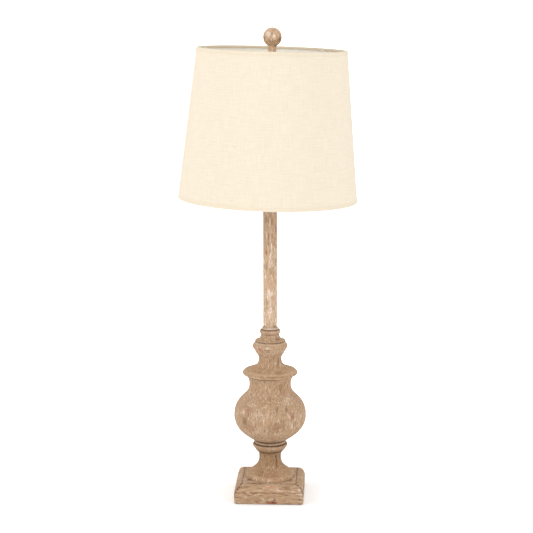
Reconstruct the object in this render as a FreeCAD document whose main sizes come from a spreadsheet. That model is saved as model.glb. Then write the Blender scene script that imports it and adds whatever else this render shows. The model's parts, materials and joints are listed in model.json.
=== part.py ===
import FreeCAD, Part
import math
import os
from types import SimpleNamespace

import Sketcher

# Candlestick lamp: turned wooden column on a square plinth, tapered linen drum shade, ball finial.
# Millimetres. +Z is up, the front is -Y, the origin is the middle of the underside.

doc = FreeCAD.newDocument("candlestick_lamp")

DIMENSIONS = [
    # felt and plinth
    ("felt_side", 112, "side of the felt under the plinth"),
    ("felt_thickness", 1.5, ""),
    ("plinth_side", 118.8, "side of the square block"),
    ("plinth_corner", 2.5, "rounding of the upright corners"),
    ("block_top", 20.4, "height of the groove above the block"),
    ("line_height", 1.0, "height of the groove"),
    ("line_depth", 0.9, "depth of the groove"),
    ("ovolo_rounding", 13.8, "radius of the rounded edge"),
    ("plinth_top", 34, "height of the flat top"),
    ("plateau_half", 46.8, "half side of the flat top"),
    ("incision_width", 1.2, "width of the line cut round the flat top"),
    ("incision_depth", 0.7, ""),
    ("recess_radius", 42, "hollow under the plinth"),
    ("recess_top", 16, ""),
    # weight, pipe and its fastening
    ("pipe_radius", 4.95, "outside of the threaded pipe"),
    ("pipe_bore_radius", 3.2, ""),
    ("pipe_bottom", 4, ""),
    ("pipe_top", 522, ""),
    ("pipe_hole_radius", 5.3, "bore through every turned piece"),
    ("ballast_radius", 40, ""),
    ("ballast_thickness", 5, ""),
    ("washer_radius", 13, ""),
    ("washer_thickness", 1.6, ""),
    ("nut_circle_radius", 8.25, "corners of the hexagon nut"),
    ("nut_thickness", 4, ""),
    # inlet of the cord
    ("inlet_height", 7.2, "axis of the inlet above the table"),
    ("bush_radius", 4.4, ""),
    ("bush_bore_radius", 3.2, ""),
    ("bush_inner_end", 43, "distance of its inner end from the axis"),
    ("bush_flange_radius", 5.6, ""),
    ("bush_flange_thickness", 1.5, ""),
    # pedestal
    ("foot_radius", 42, ""),
    ("foot_edge_top", 36.5, ""),
    ("foot_edge_rounding", 6, ""),
    ("foot_shoulder_radius", 38.4, ""),
    ("foot_shoulder_height", 41.8, ""),
    ("trumpet_radius", 27.8, "where the slope turns into the hollow"),
    ("trumpet_height", 50, ""),
    ("trumpet_rounding", 22, ""),
    ("neck_radius", 18.8, ""),
    ("neck_bottom", 68.6, ""),
    ("neck_top", 71.6, ""),
    ("neck_flare_rounding", 12, ""),
    ("pedestal_top_radius", 23, ""),
    ("pedestal_top", 80.6, ""),
    # ring under the bulb
    ("ring_foot_radius", 23.6, ""),
    ("ring_foot_height", 81.3, ""),
    ("ring_low_radius", 28.9, ""),
    ("ring_low_height", 88, ""),
    ("ring_high_radius", 29.2, ""),
    ("ring_high_height", 93, ""),
    ("ring_rounding", 3.4, ""),
    ("ring_groove_radius", 26.8, ""),
    ("ring_groove_height", 94.2, ""),
    ("bead_rounding", 2.3, ""),
    ("bead_top", 98, ""),
    ("ring_top_radius", 24.2, ""),
    ("ring_top", 99.2, ""),
    # big bulb
    ("bulb_foot_radius", 31.6, ""),
    ("bulb_foot_height", 102.4, ""),
    ("bulb_low_rounding", 91, ""),
    ("bulb_low_radius", 53.5, ""),
    ("bulb_low_height", 120, ""),
    ("bulb_side_rounding", 37.6, ""),
    ("bulb_radius", 62.1, "widest turning of the column"),
    ("bulb_height", 145.5, ""),
    ("bulb_shoulder_rounding", 41.1, ""),
    ("bulb_shoulder_radius", 51.5, ""),
    ("bulb_shoulder_height", 174, ""),
    ("bulb_neck_start_radius", 43.2, ""),
    ("bulb_neck_start_height", 182, ""),
    ("bulb_neck_rounding", 22.4, ""),
    ("bulb_neck_radius", 36.0, ""),
    ("bulb_neck_height", 199, ""),
    ("bulb_lip_rounding", 22, ""),
    ("bulb_lip_radius", 40.4, ""),
    ("bulb_lip_height", 213.8, ""),
    ("bulb_top_radius", 38, ""),
    ("bulb_top", 215.6, ""),
    # disc, waist and knop
    ("disc_low_radius", 44.8, ""),
    ("disc_low_height", 216.4, ""),
    ("disc_radius", 47.4, ""),
    ("disc_height", 219.9, ""),
    ("disc_low_rounding", 3.6, ""),
    ("disc_high_radius", 41, ""),
    ("disc_high_height", 224.9, ""),
    ("disc_high_rounding", 6.4, ""),
    ("waist_start_radius", 27.5, ""),
    ("waist_start_height", 230.4, ""),
    ("waist_low_rounding", 15.2, ""),
    ("waist_radius", 19.6, ""),
    ("waist_height", 245.5, ""),
    ("waist_high_rounding", 9.5, ""),
    ("knop_low_radius", 22.5, ""),
    ("knop_low_height", 251.8, ""),
    ("knop_side_radius", 29.3, ""),
    ("knop_side_height", 263.8, ""),
    ("knop_rounding", 6.2, ""),
    ("knop_shoulder_radius", 28.6, ""),
    ("knop_shoulder_height", 270.6, ""),
    ("knop_edge_radius", 25.9, ""),
    ("knop_edge_height", 274.4, ""),
    ("knop_top_radius", 24.3, ""),
    ("knop_top", 275.2, ""),
    # collar under the stem
    ("arris_radius", 25.8, ""),
    ("arris_low_height", 275.9, ""),
    ("arris_high_height", 276.9, ""),
    ("cove_rounding", 9.2, ""),
    ("cove_radius", 16.3, ""),
    ("cove_height", 284.6, ""),
    ("groove_radius", 15.3, "groove under the bead"),
    ("groove_height", 287.6, ""),
    ("collar_bead_rounding", 4.9, ""),
    ("collar_bead_radius", 15.2, "where the bead ends above"),
    ("collar_bead_top", 296.2, ""),
    ("collar_top_radius", 14.2, ""),
    ("collar_top", 298, ""),
    # stem
    ("stem_foot_radius", 13.6, ""),
    ("stem_foot_rounding", 8, ""),
    ("stem_foot_top", 306, ""),
    ("stem_radius", 12, ""),
    ("stem_top", 508, ""),
    ("cap_radius", 15, ""),
    ("cap_rounding", 2.4, ""),
    ("cap_thickness", 3.5, ""),
    # harp
    ("saddle_thickness", 1.8, ""),
    ("saddle_width", 14, ""),
    ("post_inner", 24.6, "inner face of a saddle post from the axis"),
    ("post_thickness", 1.6, ""),
    ("post_width", 3.6, ""),
    ("post_height", 14, ""),
    ("sleeve_offset", 27, "axis of a locking sleeve from the lamp's axis"),
    ("sleeve_radius", 4.2, ""),
    ("sleeve_bore_radius", 3.4, ""),
    ("sleeve_length", 14, ""),
    ("sleeve_rest_gap", 0.7, "from the saddle to a lowered sleeve"),
    ("wire_radius", 1.5, ""),
    ("leg_offset", 28.2, ""),
    ("leg_bottom", 4, "heights of the harp are from the saddle's top"),
    ("leg_top", 35, ""),
    ("leg_rounding", 18, ""),
    ("leg_spread", 52, "degrees out of upright"),
    ("bow_rounding", 60, ""),
    ("bow_turn_in", 6, "degrees"),
    ("side_rounding", 420, ""),
    ("side_turn_in", 25, "degrees"),
    ("harp_shoulder_rounding", 10, ""),
    ("harp_lean", 0.65, "degrees towards +X"),
    ("shade_tilt", 1.7, "degrees towards +X, also of stud and finial"),
    ("stud_plate_radius", 6, ""),
    ("stud_plate_thickness", 2.1, ""),
    ("stud_seat_above_wire", 3.8, ""),
    ("stud_radius", 3.15, ""),
    ("stud_height", 11, ""),
    # socket
    ("socket_neck_radius", 9, ""),
    ("socket_neck_height", 5.5, ""),
    ("socket_cap_radius", 17.2, ""),
    ("socket_cap_shoulder", 15, ""),
    ("socket_cap_height", 21, ""),
    ("socket_cap_rounding", 13, ""),
    ("socket_wall", 0.6, ""),
    ("socket_cap_floor", 1.8, "thickness of the cap round the pipe"),
    ("shell_radius", 16.5, ""),
    ("shell_wall", 0.4, ""),
    ("shell_bottom", 18, "heights in the socket are from the saddle's top"),
    ("shell_top", 57.5, ""),
    ("sleeve_paper_radius", 15.9, ""),
    ("sleeve_paper_wall", 0.6, ""),
    ("paper_bottom", 20.5, ""),
    ("paper_top", 56.5, ""),
    ("body_radius", 15.1, ""),
    ("body_top", 38, ""),
    ("screw_shell_radius", 14.3, ""),
    ("screw_shell_wall", 0.6, ""),
    ("screw_shell_top", 56, ""),
    ("contact_radius", 3, ""),
    ("contact_thickness", 1.2, ""),
    ("terminal_offset", 10.5, ""),
    ("terminal_shank_radius", 1.4, ""),
    ("terminal_head_radius", 2.8, ""),
    ("terminal_shank_length", 6, ""),
    ("terminal_head_height", 2, ""),
    ("key_height", 31, ""),
    ("key_shaft_radius", 2, ""),
    ("key_bore_radius", 2.08, ""),
    ("key_hole_radius", 3, ""),
    ("key_inner_end", 4, ""),
    ("key_end_gap", 0.5, "from the key's inner end to the bottom of its bore"),
    ("knob_start", 21, "nearer end of the knob from the axis"),
    ("knob_length", 12, ""),
    ("knob_half_width", 7, ""),
    ("knob_half_thickness", 3.6, ""),
    ("knob_end_rounding", 4.2, ""),
    # bulb
    ("tip_bottom", 39.5, ""),
    ("tip_height", 1.6, ""),
    ("tip_radius", 3.4, ""),
    ("insulator_height", 3.4, ""),
    ("bulb_base_radius", 13.2, ""),
    ("bulb_base_wall", 0.5, ""),
    ("bulb_base_height", 22, ""),
    ("bulb_base_floor", 1, ""),
    ("glass_neck_radius", 12.62, ""),
    ("glass_bottom_above_tip", 17, ""),
    ("glass_neck_length", 10.2, ""),
    ("glass_cone_length", 23.8, ""),
    ("glass_cone_radius", 25.5, ""),
    ("glass_radius", 30, ""),
    ("glass_centre_above_tip", 77.9, ""),
    ("glass_wall", 1, ""),
    # shade, heights from the seat on the stud
    ("shade_bottom", -238.7, ""),
    ("shade_top", 13.3, ""),
    ("shade_bottom_radius", 151.4, ""),
    ("shade_top_radius", 125.8, ""),
    ("cloth", 0.6, "thickness of the linen"),
    ("liner", 0.5, "thickness of the liner"),
    ("hem_width", 5, "how far the rim reaches inwards"),
    ("hem_height", 6, ""),
    ("ring_wire_radius", 1.2, ""),
    ("ring_gap", 0.2, "from a ring to the folded cloth over it"),
    ("seat_gap", 0.1, ""),
    ("hub_radius", 12, ""),
    ("hub_hole_radius", 3.24, ""),
    ("hub_thickness", 1.6, ""),
    ("arm_radius", 1.3, ""),
    ("arm_knee", 98, ""),
    ("arm_knee_rounding", 20, ""),
    ("arm_rise", 25, "degrees"),
    ("arm_end", 120.2, ""),
    ("arm_turn", 45, "degrees, direction of the first arm"),
    # finial, heights from the seat on the stud
    ("finial_bottom", 2, ""),
    ("finial_foot_radius", 9.4, ""),
    ("finial_foot_height", 3.6, ""),
    ("finial_foot_slope", 1.4, "rise of the slope above the foot"),
    ("finial_stem_radius", 6.6, ""),
    ("finial_stem_height", 10.5, ""),
    ("finial_neck_radius", 7.8, ""),
    ("finial_neck_height", 13.6, ""),
    ("finial_throat_radius", 6.9, ""),
    ("finial_throat_height", 17.8, ""),
    ("finial_ball_radius", 15.5, ""),
    ("finial_ball_height", 33, ""),
    ("insert_radius", 4.95, ""),
    ("insert_hole_radius", 5.02, ""),
    ("insert_bore_radius", 3.2, ""),
    ("insert_length", 13, ""),
    ("insert_end_gap", 1, "depth of the bore past the insert"),
]


class Size:
    """A size kept both as a number and as the sheet's formula that gives it."""

    def __init__(self, value, formula):
        self.value = value
        self.formula = formula

    def __add__(self, other):
        other = as_size(other)
        return Size(self.value + other.value, f"({self.formula} + {other.formula})")

    def __sub__(self, other):
        other = as_size(other)
        return Size(self.value - other.value, f"({self.formula} - {other.formula})")

    def __mul__(self, other):
        other = as_size(other)
        return Size(self.value * other.value, f"({self.formula} * {other.formula})")

    def __truediv__(self, other):
        other = as_size(other)
        return Size(self.value / other.value, f"({self.formula} / {other.formula})")

    def __neg__(self):
        return Size(-self.value, f"(0 - {self.formula})")


def as_size(number):
    """A plain number as a Size; a Size stays as it is."""
    if isinstance(number, Size):
        return number
    return Size(float(number), f"({float(number):.6f})")


def sine(angle):
    return Size(math.sin(math.radians(angle.value)), f"sin({angle.formula})")


def cosine(angle):
    return Size(math.cos(math.radians(angle.value)), f"cos({angle.formula})")


def tangent(angle):
    return Size(math.tan(math.radians(angle.value)), f"tan({angle.formula})")


def write_sheet():
    """Fill the sheet with one row for each driving dimension."""
    sheet = doc.addObject("Spreadsheet::Sheet", "Dimensions")
    for row, (alias, value, note) in enumerate(DIMENSIONS, start=1):
        sheet.set(f"A{row}", alias.replace("_", " "))
        sheet.set(f"B{row}", str(value))
        sheet.set(f"C{row}", note)
        sheet.setAlias(f"B{row}", alias)
    doc.recompute()


write_sheet()
d = SimpleNamespace(**{alias: Size(float(value), f"Dimensions.{alias}") for alias, value, _ in DIMENSIONS})
nodes = {}

UPRIGHT = FreeCAD.Rotation(FreeCAD.Vector(1, 0, 0), 90)
QUARTER_TURN = FreeCAD.Rotation(FreeCAD.Vector(0, 0, 1), 90)
ALONG_Y = FreeCAD.Rotation(FreeCAD.Vector(1, 0, 0), -90)
NO_TURN = FreeCAD.Rotation()
AXIS_X = FreeCAD.Vector(1, 0, 0)
AXIS_Y = FreeCAD.Vector(0, 1, 0)
AXIS_Z = FreeCAD.Vector(0, 0, 1)


# ---------------------------------------------------------------- tools of the drawing board


def bind(thing, **sizes):
    """Tie properties of an object to the sheet."""
    for name, size in sizes.items():
        thing.setExpression(name, as_size(size).formula)


def place(thing, x=0, y=0, z=0, rotation=NO_TURN):
    """Put an object at a place given by sheet formulas."""
    x, y, z = as_size(x), as_size(y), as_size(z)
    thing.Placement = FreeCAD.Placement(FreeCAD.Vector(x.value, y.value, z.value), rotation)
    for axis, size in zip("xyz", (x, y, z)):
        thing.setExpression(f"Placement.Base.{axis}", size.formula)


def keep(node, thing):
    """Name an object as one finished piece of the lamp."""
    thing.Label = node
    nodes[node] = thing
    return thing


def plane_of(body, role):
    return next(f for f in body.Origin.OriginFeatures if f.Role == role)


def sketch_on(body, role, name):
    """A sketch lying on one of the body's own origin planes."""
    sketch = body.newObject("Sketcher::SketchObject", name)
    sketch.AttachmentSupport = (plane_of(body, role), [""])
    sketch.MapMode = "FlatFace"
    return sketch


def arc_between(start, end, radius, side):
    """The smaller arc from start to end. side +1 bulges to the left of the way, -1 to the right."""
    way = end - start
    half = way.Length / 2
    left = FreeCAD.Vector(-way.y, way.x, 0).normalize()
    centre_distance = math.sqrt(max(radius * radius - half * half, 0))
    centre = start + way * 0.5 - left * (side * centre_distance)
    first, last = (end, start) if side > 0 else (start, end)
    angle_from = math.atan2(first.y - centre.y, first.x - centre.x)
    angle_to = math.atan2(last.y - centre.y, last.x - centre.x)
    if angle_to <= angle_from:
        angle_to += 2 * math.pi
    return Part.ArcOfCircle(Part.Circle(centre, AXIS_Z, radius), angle_from, angle_to)


def tie(sketch, kind, geometry, point, size):
    """Hold one coordinate of a point at a sheet formula."""
    if abs(size.value) < 1e-9:
        axis = -2 if kind == "DistanceX" else -1
        sketch.addConstraint(Sketcher.Constraint("PointOnObject", geometry, point, axis))
        return
    index = sketch.addConstraint(Sketcher.Constraint(kind, -1, 1, geometry, point, size.value))
    sketch.setExpression(f"Constraints[{index}]", size.formula)


def draw(sketch, corners, arcs=None, closed=True):
    """Draw a line from corner to corner. arcs says which stretches are round: {corner: (radius, side)}."""
    arcs = arcs or {}
    corners = [(as_size(across), as_size(up)) for across, up in corners]
    points = [FreeCAD.Vector(across.value, up.value, 0) for across, up in corners]
    count = len(points) if closed else len(points) - 1
    ends = []
    for i in range(count):
        start, end = points[i], points[(i + 1) % len(points)]
        if i in arcs:
            radius, side = arcs[i]
            radius = as_size(radius)
            index = sketch.addGeometry(arc_between(start, end, radius.value, side), False)
            ends.append((index, 2, 1) if side > 0 else (index, 1, 2))
            constraint = sketch.addConstraint(Sketcher.Constraint("Radius", index, radius.value))
            sketch.setExpression(f"Constraints[{constraint}]", radius.formula)
        else:
            index = sketch.addGeometry(Part.LineSegment(start, end), False)
            ends.append((index, 1, 2))
    for i in range(count if closed else count - 1):
        index, _, last = ends[i]
        following, first, _ = ends[(i + 1) % count]
        sketch.addConstraint(Sketcher.Constraint("Coincident", index, last, following, first))
    for i, (index, first, last) in enumerate(ends):
        tie(sketch, "DistanceX", index, first, corners[i][0])
        tie(sketch, "DistanceY", index, first, corners[i][1])
    if not closed:
        index, _, last = ends[-1]
        tie(sketch, "DistanceX", index, last, corners[-1][0])
        tie(sketch, "DistanceY", index, last, corners[-1][1])


def draw_circle(sketch, radius, across=0, up=0):
    """Draw one full circle at a place."""
    radius, across, up = as_size(radius), as_size(across), as_size(up)
    centre = FreeCAD.Vector(across.value, up.value, 0)
    index = sketch.addGeometry(Part.Circle(centre, AXIS_Z, radius.value), False)
    constraint = sketch.addConstraint(Sketcher.Constraint("Radius", index, radius.value))
    sketch.setExpression(f"Constraints[{constraint}]", radius.formula)
    tie(sketch, "DistanceX", index, 3, across)
    tie(sketch, "DistanceY", index, 3, up)


def turned(node, corners, arcs=None):
    """A piece turned about its own Z axis from half of its section."""
    body = doc.addObject("PartDesign::Body", node)
    sketch = sketch_on(body, "XZ_Plane", f"{node}_section")
    draw(sketch, corners, arcs)
    turning = body.newObject("PartDesign::Revolution", f"{node}_turning")
    turning.Profile = sketch
    turning.ReferenceAxis = (sketch, ["V_Axis"])
    turning.Angle = 360
    return keep(node, body)


def rod(name, radius, length, x=0, y=0, z=0, rotation=NO_TURN):
    """A plain round rod."""
    cylinder = doc.addObject("Part::Cylinder", name)
    bind(cylinder, Radius=radius, Height=length)
    place(cylinder, x, y, z, rotation)
    return cylinder


def cut(name, base, tool):
    result = doc.addObject("Part::Cut", name)
    result.Base = base
    result.Tool = tool
    return result


def fuse(name, *pieces):
    result = doc.addObject("Part::MultiFuse", name)
    result.Shapes = list(pieces)
    return result


def tube(name, radius, bore, length, x=0, y=0, z=0, rotation=NO_TURN):
    """A round tube, washer or sleeve."""
    wall = rod(f"{name}_wall", radius, length, x, y, z, rotation)
    hole = rod(f"{name}_hole", bore, length, x, y, z, rotation)
    return cut(name, wall, hole)


# ---------------------------------------------------------------- plinth and what is in it


def plinth_section(name, rotation):
    """The plinth's section, drawn upright, as a bar twice as long as it needs to be."""
    half = d.plinth_side / 2
    ovolo_foot = half - d.line_depth
    notch_out, notch_in = d.plateau_half, d.plateau_half - d.incision_width
    sketch = doc.addObject("Sketcher::SketchObject", f"{name}_section")
    sketch.Placement = FreeCAD.Placement(FreeCAD.Vector(0, 0, 0), rotation)
    right = [
        (half, d.felt_thickness),
        (half, d.block_top),
        (ovolo_foot, d.block_top),
        (ovolo_foot, d.block_top + d.line_height),
        (notch_out, d.plinth_top - d.incision_depth),
        (notch_in, d.plinth_top - d.incision_depth),
        (notch_in, d.plinth_top),
    ]
    left = [(-across, up) for across, up in reversed(right)]
    ovolo_right, ovolo_left = 3, 9
    draw(sketch, right + left, {ovolo_right: (d.ovolo_rounding, -1), ovolo_left: (d.ovolo_rounding, -1)})
    bar = doc.addObject("Part::Extrusion", name)
    bar.Base = sketch
    bar.DirMode = "Normal"
    bar.Solid = True
    bar.Symmetric = True
    bind(bar, LengthFwd=d.plinth_side)
    return bar


def make_plinth():
    """Square block with a groove, a rounded upper edge and mitred corners, hollowed from below."""
    along_y = plinth_section("plinth_bar_y", UPRIGHT)
    along_x = plinth_section("plinth_bar_x", QUARTER_TURN.multiply(UPRIGHT))
    block = doc.addObject("PartDesign::Body", "plinth_block")
    half, corner = d.plinth_side / 2, d.plinth_corner
    inner = half - corner
    sketch = sketch_on(block, "XY_Plane", "plinth_block_section")
    draw(
        sketch,
        [
            (half, -inner), (half, inner), (inner, half), (-inner, half),
            (-half, inner), (-half, -inner), (-inner, -half), (inner, -half),
        ],
        {1: (corner, -1), 3: (corner, -1), 5: (corner, -1), 7: (corner, -1)},
    )
    pad = block.newObject("PartDesign::Pad", "plinth_block_pad")
    pad.Profile = sketch
    bind(pad, Length=d.plinth_top)
    whole = doc.addObject("Part::MultiCommon", "plinth_whole")
    whole.Shapes = [along_y, along_x, block]
    hollow = rod("plinth_recess", d.recess_radius, d.recess_top - d.felt_thickness, z=d.felt_thickness)
    bore = rod("plinth_bore", d.pipe_hole_radius, d.plinth_top)
    channel = rod("plinth_channel", d.bush_radius, d.plinth_side / 2, z=d.inlet_height, rotation=ALONG_Y)
    keep("plinth", cut("plinth", whole, fuse("plinth_hollows", hollow, bore, channel)))


def make_base_fittings():
    """Felt, weight, washer, nut, threaded pipe and the bush of the cord's inlet."""
    felt = doc.addObject("Part::Box", "felt_pad")
    bind(felt, Length=d.felt_side, Width=d.felt_side, Height=d.felt_thickness)
    place(felt, -d.felt_side / 2, -d.felt_side / 2)
    keep("felt_pad", felt)

    ballast_bottom = d.recess_top - d.ballast_thickness
    washer_bottom = ballast_bottom - d.washer_thickness
    nut_bottom = washer_bottom - d.nut_thickness
    hole = d.pipe_hole_radius
    keep("ballast_plate", tube("ballast_plate", d.ballast_radius, hole, d.ballast_thickness,
                               z=ballast_bottom))
    keep("base_washer", tube("base_washer", d.washer_radius, hole, d.washer_thickness, z=washer_bottom))
    hexagon = doc.addObject("Part::Prism", "base_nut_hexagon")
    hexagon.Polygon = 6
    bind(hexagon, Circumradius=d.nut_circle_radius, Height=d.nut_thickness)
    place(hexagon, z=nut_bottom)
    nut_hole = rod("base_nut_hole", d.pipe_radius, d.nut_thickness, z=nut_bottom)
    keep("base_nut", cut("base_nut", hexagon, nut_hole))
    length = d.pipe_top - d.pipe_bottom
    keep("threaded_pipe", tube("threaded_pipe", d.pipe_radius, d.pipe_bore_radius, length, z=d.pipe_bottom))

    back = d.plinth_side / 2
    shank = rod("bush_shank", d.bush_radius, back - d.bush_inner_end, y=d.bush_inner_end, z=d.inlet_height,
                rotation=ALONG_Y)
    flange = rod("bush_flange", d.bush_flange_radius, d.bush_flange_thickness, y=back, z=d.inlet_height,
                 rotation=ALONG_Y)
    bore = rod("bush_bore", d.bush_bore_radius, back, y=d.bush_inner_end, z=d.inlet_height, rotation=ALONG_Y)
    keep("cord_bush", cut("cord_bush", fuse("bush_outside", shank, flange), bore))


# ---------------------------------------------------------------- turned column


def make_column():
    """The turned wooden pieces, from the pedestal to the stem, threaded on the pipe."""
    hole = d.pipe_hole_radius
    turned(
        "pedestal",
        [
            (hole, d.plinth_top),
            (d.foot_radius, d.plinth_top),
            (d.foot_radius, d.foot_edge_top),
            (d.foot_shoulder_radius, d.foot_shoulder_height),
            (d.trumpet_radius, d.trumpet_height),
            (d.neck_radius, d.neck_bottom),
            (d.neck_radius, d.neck_top),
            (d.pedestal_top_radius, d.pedestal_top),
            (hole, d.pedestal_top),
        ],
        {2: (d.foot_edge_rounding, -1), 4: (d.trumpet_rounding, 1), 6: (d.neck_flare_rounding, 1)},
    )
    turned(
        "lower_ring",
        [
            (hole, d.pedestal_top),
            (d.pedestal_top_radius, d.pedestal_top),
            (d.ring_foot_radius, d.ring_foot_height),
            (d.ring_low_radius, d.ring_low_height),
            (d.ring_high_radius, d.ring_high_height),
            (d.ring_groove_radius, d.ring_groove_height),
            (d.ring_groove_radius, d.bead_top),
            (d.ring_top_radius, d.ring_top),
            (hole, d.ring_top),
        ],
        {3: (d.ring_rounding, -1), 5: (d.bead_rounding, -1)},
    )
    turned(
        "baluster",
        [
            (hole, d.ring_top),
            (d.ring_top_radius, d.ring_top),
            (d.bulb_foot_radius, d.bulb_foot_height),
            (d.bulb_low_radius, d.bulb_low_height),
            (d.bulb_radius, d.bulb_height),
            (d.bulb_shoulder_radius, d.bulb_shoulder_height),
            (d.bulb_neck_start_radius, d.bulb_neck_start_height),
            (d.bulb_neck_radius, d.bulb_neck_height),
            (d.bulb_lip_radius, d.bulb_lip_height),
            (d.bulb_top_radius, d.bulb_top),
            (hole, d.bulb_top),
        ],
        {
            2: (d.bulb_low_rounding, -1),
            3: (d.bulb_side_rounding, -1),
            4: (d.bulb_shoulder_rounding, -1),
            6: (d.bulb_neck_rounding, 1),
            7: (d.bulb_lip_rounding, 1),
        },
    )
    turned(
        "knop_section",
        [
            (hole, d.bulb_top),
            (d.bulb_top_radius, d.bulb_top),
            (d.disc_low_radius, d.disc_low_height),
            (d.disc_radius, d.disc_height),
            (d.disc_high_radius, d.disc_high_height),
            (d.waist_start_radius, d.waist_start_height),
            (d.waist_radius, d.waist_height),
            (d.knop_low_radius, d.knop_low_height),
            (d.knop_side_radius, d.knop_side_height),
            (d.knop_shoulder_radius, d.knop_shoulder_height),
            (d.knop_edge_radius, d.knop_edge_height),
            (d.knop_top_radius, d.knop_top),
            (hole, d.knop_top),
        ],
        {
            2: (d.disc_low_rounding, -1),
            3: (d.disc_high_rounding, -1),
            5: (d.waist_low_rounding, 1),
            6: (d.waist_high_rounding, 1),
            8: (d.knop_rounding, -1),
        },
    )
    turned(
        "top_collar",
        [
            (hole, d.knop_top),
            (d.knop_top_radius, d.knop_top),
            (d.arris_radius, d.arris_low_height),
            (d.arris_radius, d.arris_high_height),
            (d.cove_radius, d.cove_height),
            (d.groove_radius, d.groove_height),
            (d.collar_bead_radius, d.collar_bead_top),
            (d.collar_top_radius, d.collar_top),
            (hole, d.collar_top),
        ],
        {3: (d.cove_rounding, 1), 5: (d.collar_bead_rounding, -1)},
    )
    turned(
        "stem",
        [
            (hole, d.collar_top),
            (d.stem_foot_radius, d.collar_top),
            (d.stem_radius, d.stem_foot_top),
            (d.stem_radius, d.stem_top),
            (hole, d.stem_top),
        ],
        {1: (d.stem_foot_rounding, 1)},
    )
    cap_side = d.cap_thickness - d.cap_rounding
    turned(
        "stem_cap",
        [
            (hole, d.stem_top),
            (d.cap_radius, d.stem_top),
            (d.cap_radius, d.stem_top + cap_side),
            (d.cap_radius - d.cap_rounding, d.stem_top + d.cap_thickness),
            (hole, d.stem_top + d.cap_thickness),
        ],
        {2: (d.cap_rounding, -1)},
    )


# ---------------------------------------------------------------- harp

saddle_bottom = d.stem_top + d.cap_thickness
saddle_top = saddle_bottom + d.saddle_thickness


def block(name, length, width, height, x, y, z):
    box = doc.addObject("Part::Box", name)
    bind(box, Length=length, Width=width, Height=height)
    place(box, x, y, z)
    return box


def make_saddle():
    """Flat strip under the socket with an upright post at each end."""
    reach = d.post_inner + d.post_thickness
    strip = block("saddle_strip", reach * 2, d.saddle_width, d.saddle_thickness,
                  -reach, -d.saddle_width / 2, saddle_bottom)
    posts = [
        block(f"saddle_post_{side}", d.post_thickness, d.post_width, d.post_height,
              start, -d.post_width / 2, saddle_top)
        for side, start in (("right", d.post_inner), ("left", -reach))
    ]
    hole = rod("saddle_hole", d.pipe_hole_radius, d.saddle_thickness, z=saddle_bottom)
    keep("harp_saddle", fuse("harp_saddle", cut("saddle_plate", strip, hole), *posts))
    for node, offset in (("harp_sleeve_left", -d.sleeve_offset), ("harp_sleeve_right", d.sleeve_offset)):
        keep(node, tube(node, d.sleeve_radius, d.sleeve_bore_radius, d.sleeve_length,
                        x=offset, z=saddle_top + d.sleeve_rest_gap))


def harp_side():
    """Corners of the right half of the harp, from the leg's foot to the top, and the height of the top."""
    spread, turn_in, shoulder_turn = d.leg_spread, d.bow_turn_in, d.side_turn_in
    across, up = d.leg_offset, d.leg_top
    corners = [(d.leg_offset, d.leg_bottom), (across, up)]
    across = across + d.leg_rounding * (as_size(1) - cosine(spread))
    up = up + d.leg_rounding * sine(spread)
    corners.append((across, up))
    across = across + d.bow_rounding * (cosine(turn_in) - cosine(spread))
    up = up + d.bow_rounding * (sine(spread) + sine(turn_in))
    corners.append((across, up))
    across = across - d.side_rounding * (cosine(turn_in) - cosine(shoulder_turn))
    up = up + d.side_rounding * (sine(shoulder_turn) - sine(turn_in))
    corners.append((across, up))
    across = across - d.harp_shoulder_rounding * cosine(shoulder_turn)
    up = up + d.harp_shoulder_rounding * (as_size(1) - sine(shoulder_turn))
    corners.append((across, up))
    return corners, up


def make_harp():
    """The bowed wire, in its own leaning frame on the saddle."""
    right, top = harp_side()
    left = [(-across, up) for across, up in reversed(right)]
    rounds = {
        1: (d.leg_rounding, 1),
        2: (d.bow_rounding, -1),
        3: (d.side_rounding, -1),
        4: (d.harp_shoulder_rounding, -1),
        6: (d.harp_shoulder_rounding, -1),
        7: (d.side_rounding, -1),
        8: (d.bow_rounding, -1),
        9: (d.leg_rounding, 1),
    }
    body = doc.addObject("PartDesign::Body", "harp_wire")
    path = sketch_on(body, "XZ_Plane", "harp_path")
    draw(path, right + left, rounds, closed=False)
    section = sketch_on(body, "XY_Plane", "harp_section")
    section.AttachmentOffset = FreeCAD.Placement(FreeCAD.Vector(0, 0, d.leg_bottom.value), NO_TURN)
    section.setExpression("AttachmentOffset.Base.z", d.leg_bottom.formula)
    draw_circle(section, d.wire_radius, d.leg_offset)
    wire = body.newObject("PartDesign::AdditivePipe", "harp_bow")
    wire.Profile = section
    wire.Spine = path
    place(body, z=saddle_top, rotation=FreeCAD.Rotation(AXIS_Y, d.harp_lean.value))
    body.setExpression("Placement.Rotation.Angle", d.harp_lean.formula)
    keep("harp_wire", body)
    return top


make_plinth()
make_base_fittings()
make_column()
make_saddle()
harp_top = make_harp()

# the seat of the shade on the stud, on the harp's top
seat_x = harp_top * sine(d.harp_lean) + d.stud_seat_above_wire * sine(d.shade_tilt)
seat_z = saddle_top + harp_top * cosine(d.harp_lean) + d.stud_seat_above_wire * cosine(d.shade_tilt)


def on_seat(thing, turn=0.0):
    """Stand a piece on the stud's seat, tilted with it and turned about its axis."""
    rotation = FreeCAD.Rotation(AXIS_Y, d.shade_tilt.value).multiply(FreeCAD.Rotation(AXIS_Z, turn))
    place(thing, x=seat_x, z=seat_z, rotation=rotation)
    return thing


def make_stud():
    plate_bottom = -d.stud_plate_thickness
    on_seat(turned(
        "harp_stud",
        [
            (0, plate_bottom),
            (d.stud_plate_radius, plate_bottom),
            (d.stud_plate_radius, 0),
            (d.stud_radius, 0),
            (d.stud_radius, d.stud_height),
            (0, d.stud_height),
        ],
    ))


# ---------------------------------------------------------------- socket and bulb


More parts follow.
